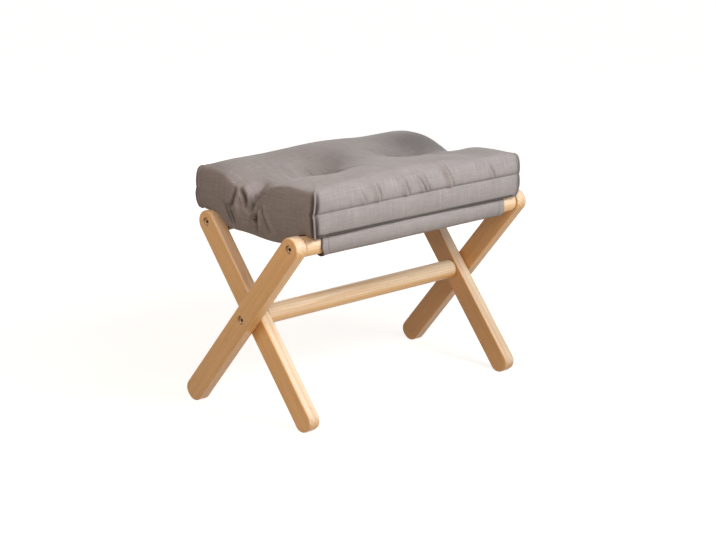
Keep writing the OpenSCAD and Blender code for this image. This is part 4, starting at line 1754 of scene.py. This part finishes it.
    def _stuff(self, pad: Piece, cube: Array) -> None:
        """Swell the cover with pressure, held at the seams, the tufts and the underside.

        Args:
            pad: The shaped cushion.
            cube: Its points on the cube.
        """
        before = pad.places
        x, y = before[:, 0] / MM, before[:, 1] / MM
        a, b, c = cube.T
        ring = (np.abs(c) < 1e-4) & (np.abs(b) > 0.9999)
        corner = (np.abs(a) > 0.9999) & (np.abs(b) > 0.9999)
        tuft = (np.minimum(*self._from_tufts(x, y)) < self.tuft_held) & (c > 0.9999)
        group = pad.obj.vertex_groups.new(name="held")
        held = np.nonzero(ring | corner | (c < -0.9999) | tuft)[0]
        group.add(held.tolist(), 1.0, "REPLACE")
        cloth = pad.obj.modifiers.new("Stuffing", "CLOTH")
        for key, value in {
            "quality": 5, "mass": 0.3, "tension_stiffness": 12.0, "compression_stiffness": 12.0,
            "shear_stiffness": 4.0, "bending_stiffness": 0.6, "use_pressure": True,
            "uniform_pressure_force": 4.0, "vertex_group_mass": "held",
        }.items():
            setattr(cloth.settings, key, value)
        cloth.settings.effector_weights.gravity = 0.0
        cloth.point_cache.frame_start, cloth.point_cache.frame_end = 1, self.frames
        scene = bpy.context.scene
        for number in range(1, self.frames + 1):
            scene.frame_set(number)
        swollen = pad.obj.evaluated_get(bpy.context.evaluated_depsgraph_get())
        move = pad.read(swollen.data.vertices, "co", 3) - before
        pad.obj.modifiers.remove(cloth)
        pad.obj.vertex_groups.remove(group)
        scene.frame_set(1)
        far = np.linalg.norm(move, axis=1)
        pad.places = before + move * (np.minimum(far, self.cap * MM) / np.maximum(far, 1e-9))[:, None]
        log.info("the stuffing swells the cover by %.1f mm at most", far.max() / MM)

    def _map(self, pad: Piece, cube: Array) -> None:
        """Lay a UV map over each panel, in metres, so that the weave follows the cloth.

        Args:
            pad: The stuffed cushion.
            cube: Its points on the cube.
        """
        places = pad.places
        rim, half_l, half_w = (self.base_z + self.rim_h) * MM, self.half_l * MM, self.half_w * MM
        flat = np.empty((len(pad.obj.data.loops), 2))
        for face in pad.obj.data.polygons:
            ids = list(face.vertices)
            axis = int(np.argmax(np.abs(cube[ids].mean(0))))
            uv = places[ids][:, :2]
            if axis != 2:
                half = (half_l, half_w)[axis]
                uv[:, axis] = np.sign(uv[0, axis]) * (half + rim - places[ids][:, 2])
            flat[face.loop_start : face.loop_start + len(ids)] = uv
        pad.lay_map(flat)

    @staticmethod
    def _corner_lines(pad: Piece, cube: Array) -> list[Array]:
        """Find the points of each upright corner.

        Args:
            pad: The stuffed cushion.
            cube: Its points on the cube.

        Returns:
            The points of each corner, from the underside up.
        """
        lines = []
        for at_corner in ((-1, -1), (-1, 1), (1, -1), (1, 1)):
            at = np.nonzero((np.abs(cube[:, :2] - at_corner) < 1e-4).all(axis=1))[0]
            lines.append(pad.places[at[np.argsort(cube[at, 2])]])
        return lines

    @staticmethod
    def _press_folds(pad: Piece) -> Array:
        """Press in the folds, one after the other.

        Args:
            pad: The stuffed cushion.

        Returns:
            How much shade is painted in their creases at each point.
        """
        places = pad.places
        dark = np.zeros(len(places))
        for face, rows in FOLDS.items():
            for row in rows:
                normals = pad.normals()
                move, shade = Fold(face, *row).press(places, normals)
                places += normals * move[:, None]
                dark = np.maximum(dark, shade)
                pad.places = places
        return dark

    def _press_seams(self, pad: Piece, corners: list[Array], dark: Array) -> Array:
        """Press in the long seam with its small puckers, the corners and the tufts.

        Args:
            pad: The folded cushion.
            corners: The points of its four upright corners.
            dark: How dark the folds leave each point.

        Returns:
            How much shade is painted on each point, from 0 to 1.
        """
        places, normals = pad.places, pad.normals()
        x, y, z = places.T / MM
        upward = np.clip(normals[:, 2], 0.0, 1.0)
        sewn = soft_step(np.abs(normals[:, 1]), 0.55, 0.85)
        above = z - (self.base_z + self.seam_h)
        groove = bell(above, self.seam_dent[1])
        ripple = self.pucker[0] * waver(places[:, 0] * 95, 0.0, 3.0)
        ripple *= np.exp(-np.abs(above) / self.pucker[1]) * (1 - groove)
        tufts = sum(bell(away, self.pinch[1]) for away in self._from_tufts(x, y)) * upward
        move = sewn * (ripple - self.seam_dent[0] * groove) - self.pinch[0] * tufts
        move += self.unevenness * waver(*(places * (30, 30, 42)).T)
        for line in corners:
            away = self._from_line(line, places) - self.corner_dent_at
            move -= self.corner_dent[0] * bell(away, self.corner_dent[1]) * (1 - upward)
        places += normals * (move * MM)[:, None]
        pad.places = places

        x, y, z = places.T / MM
        hem = z - self.base_z + np.where(y < 0, read_off(self.lap, x), 0.0)
        # Painted shade: in the folds, at the tufts, on the end panels, in the seam's groove and in the gap
        # under the hem.
        masks = [dark, 0.5 * tufts, 0.22 * soft_step(np.abs(normals[:, 0]), 0.55, 0.9)]
        masks += [0.5 * sewn * bell(above, 0.8), 1.2 * sewn * soft_step(-hem, -5.2, -3.8)]
        # Painted shade in the hollows round the tufts.
        for at_x, at_y, reach_x, reach_y, share in self.shades:
            off = ((x - at_x) / reach_x) ** 2 + ((y - at_y) / reach_y) ** 2
            masks.append(share * np.exp(-(off**1.3)) * upward)
        # Painted shade either side of each corner seam.
        for line in corners:
            reach = self.welt_shade * (1.0 if self._stands(line) else 0.35)
            masks.append(bell(self._from_line(line, places), reach, 5) * (1 - upward))
        return np.clip(np.maximum.reduce(masks), 0.0, 1.0)

    @staticmethod
    def _from_line(line: Array, places: Array) -> Array:
        """Return how far each place lies from the point of a corner at its height, in millimetres."""
        edge = on_line(line, line[:, 2], places[:, 2])
        return np.hypot(places[:, 0] - edge[:, 0], places[:, 1] - edge[:, 1]) / MM

    @staticmethod
    def _stands(line: Array) -> bool:
        """Whether this corner's seam stands up: the front left one does, and the others have turned flat."""
        return bool(line[0, 0] < 0 and line[0, 1] < 0)

    def _welts(self, corners: list[Array], cloth: Material) -> None:
        """Raise a flat seam of doubled cloth down each upright corner.

        Args:
            corners: The points of each corner.
            cloth: The cushion's finish.
        """
        welts, *others = [self._welt(line) for line in corners]
        welts.alone()
        for other in others:
            other.obj.select_set(True)
        bpy.ops.object.join()
        welts = Piece(welts.obj, "cushion_corner_welts")
        welts.smooth(60.0)
        welts.dress(cloth, Slot.CUSHION)
        welts.stand_in(Body.CUSHION, "cushion_corner_seams")

    def _welt(self, line: Array) -> Piece:
        """Make one corner seam along a line.

        Args:
            line: Points of the corner, from the underside up.

        Returns:
            The seam, as a soft strip that stands out along the corner's diagonal.
        """
        out = np.array([*np.sign(line[0, :2]), 0.0]) / math.sqrt(2)
        side = np.array([-out[1], out[0], 0.0])
        strip = Piece.added(
            "corner_welt", bpy.ops.mesh.primitive_grid_add,
            x_subdivisions=5, y_subdivisions=30, size=2.0, calc_uvs=False,
        )
        across, height = (strip.places[:, :2].T + 1) / 2
        base = on_line(line, np.arange(len(line)), height * (len(line) - 1))
        stands = self.welt_out[0 if self._stands(line) else 1]
        proud = (-self.welt_in + across * (self.welt_in + stands)) * MM
        taper = np.minimum(1.0, np.minimum(height, 1.0 - height) / 0.035 + 0.45)
        wave = 0.5 * MM * waver(0.0, height * 5, line[0, 0] * 9)
        strip.places = base + out * (proud * taper)[:, None] + side * wave[:, None]
        strip.lay_map(np.column_stack([proud, base[:, 2]])[strip.corners()])
        strip.modify("SOLIDIFY", thickness=self.welt_thick * MM, offset=0.0)
        strip.outward()
        strip.modify("SUBSURF", levels=2, render_levels=2)
        places = strip.places
        away = np.abs((places - on_line(line, line[:, 2], places[:, 2])) @ out)
        # Painted shade along the root of the seam, where it meets the corner.
        strip.mark(0.9 * np.clip(1.0 - away / (self.welt_seam * MM), 0.0, 1.0))
        return strip

    def _tuft_stitches(self, pad: Piece) -> None:
        """Sew the small crossed stitches that hold each tuft down.

        Args:
            pad: The finished cushion.
        """
        work = StitchWork("cushion_tuft_stitches")
        places = pad.places
        for away in self._from_tufts(places[:, 0] / MM, places[:, 1] / MM):
            away[places[:, 2] < (self.base_z + 20.0) * MM] = np.inf
            bottom = places[int(np.argmin(away))]
            for way in ((1.0, 0.0, 0.0), (0.0, 1.0, 0.0)):
                reach = np.array(way) * self.tie_reach * MM
                path = np.array([bottom - reach, bottom + reach]) + (0.0, 0.0, 0.5 * MM)
                upward = np.array([(0.0, 0.0, 1.0)] * 2)
                work.rows.append(StitchRow(path, upward, length=6.0 * MM, gap=1.6 * MM, radius=0.7 * MM))
        work.build().stand_in(Body.CUSHION, "cushion_tuft_ties")


def bolts() -> list[Bolt]:
    """List the bolts of the frame.

    Returns:
        All six.
    """
    ends = ("left", "right")
    made = [Bolt(f"front_rail_bolt_{end}", Body.OUTER) for end in ends]
    made += [Bolt(f"rear_rail_bolt_{end}", Body.INNER) for end in ends]
    return made + [Bolt(f"pivot_bolt_{end}", Body.INNER, shoulder=37.1 * MM) for end in ends]


def main() -> None:
    """Build the stool's dressed pieces in order and report each."""
    logging.basicConfig(level=logging.INFO, format="%(name)s: %(message)s")
    Studio().build()
    WoodenFrame().dress()
    bronze = BRONZE.make()
    for bolt in bolts():
        bolt.build(bronze)
    Sling().build()
    Cushion().build()


if __name__ == "__main__":
    main()
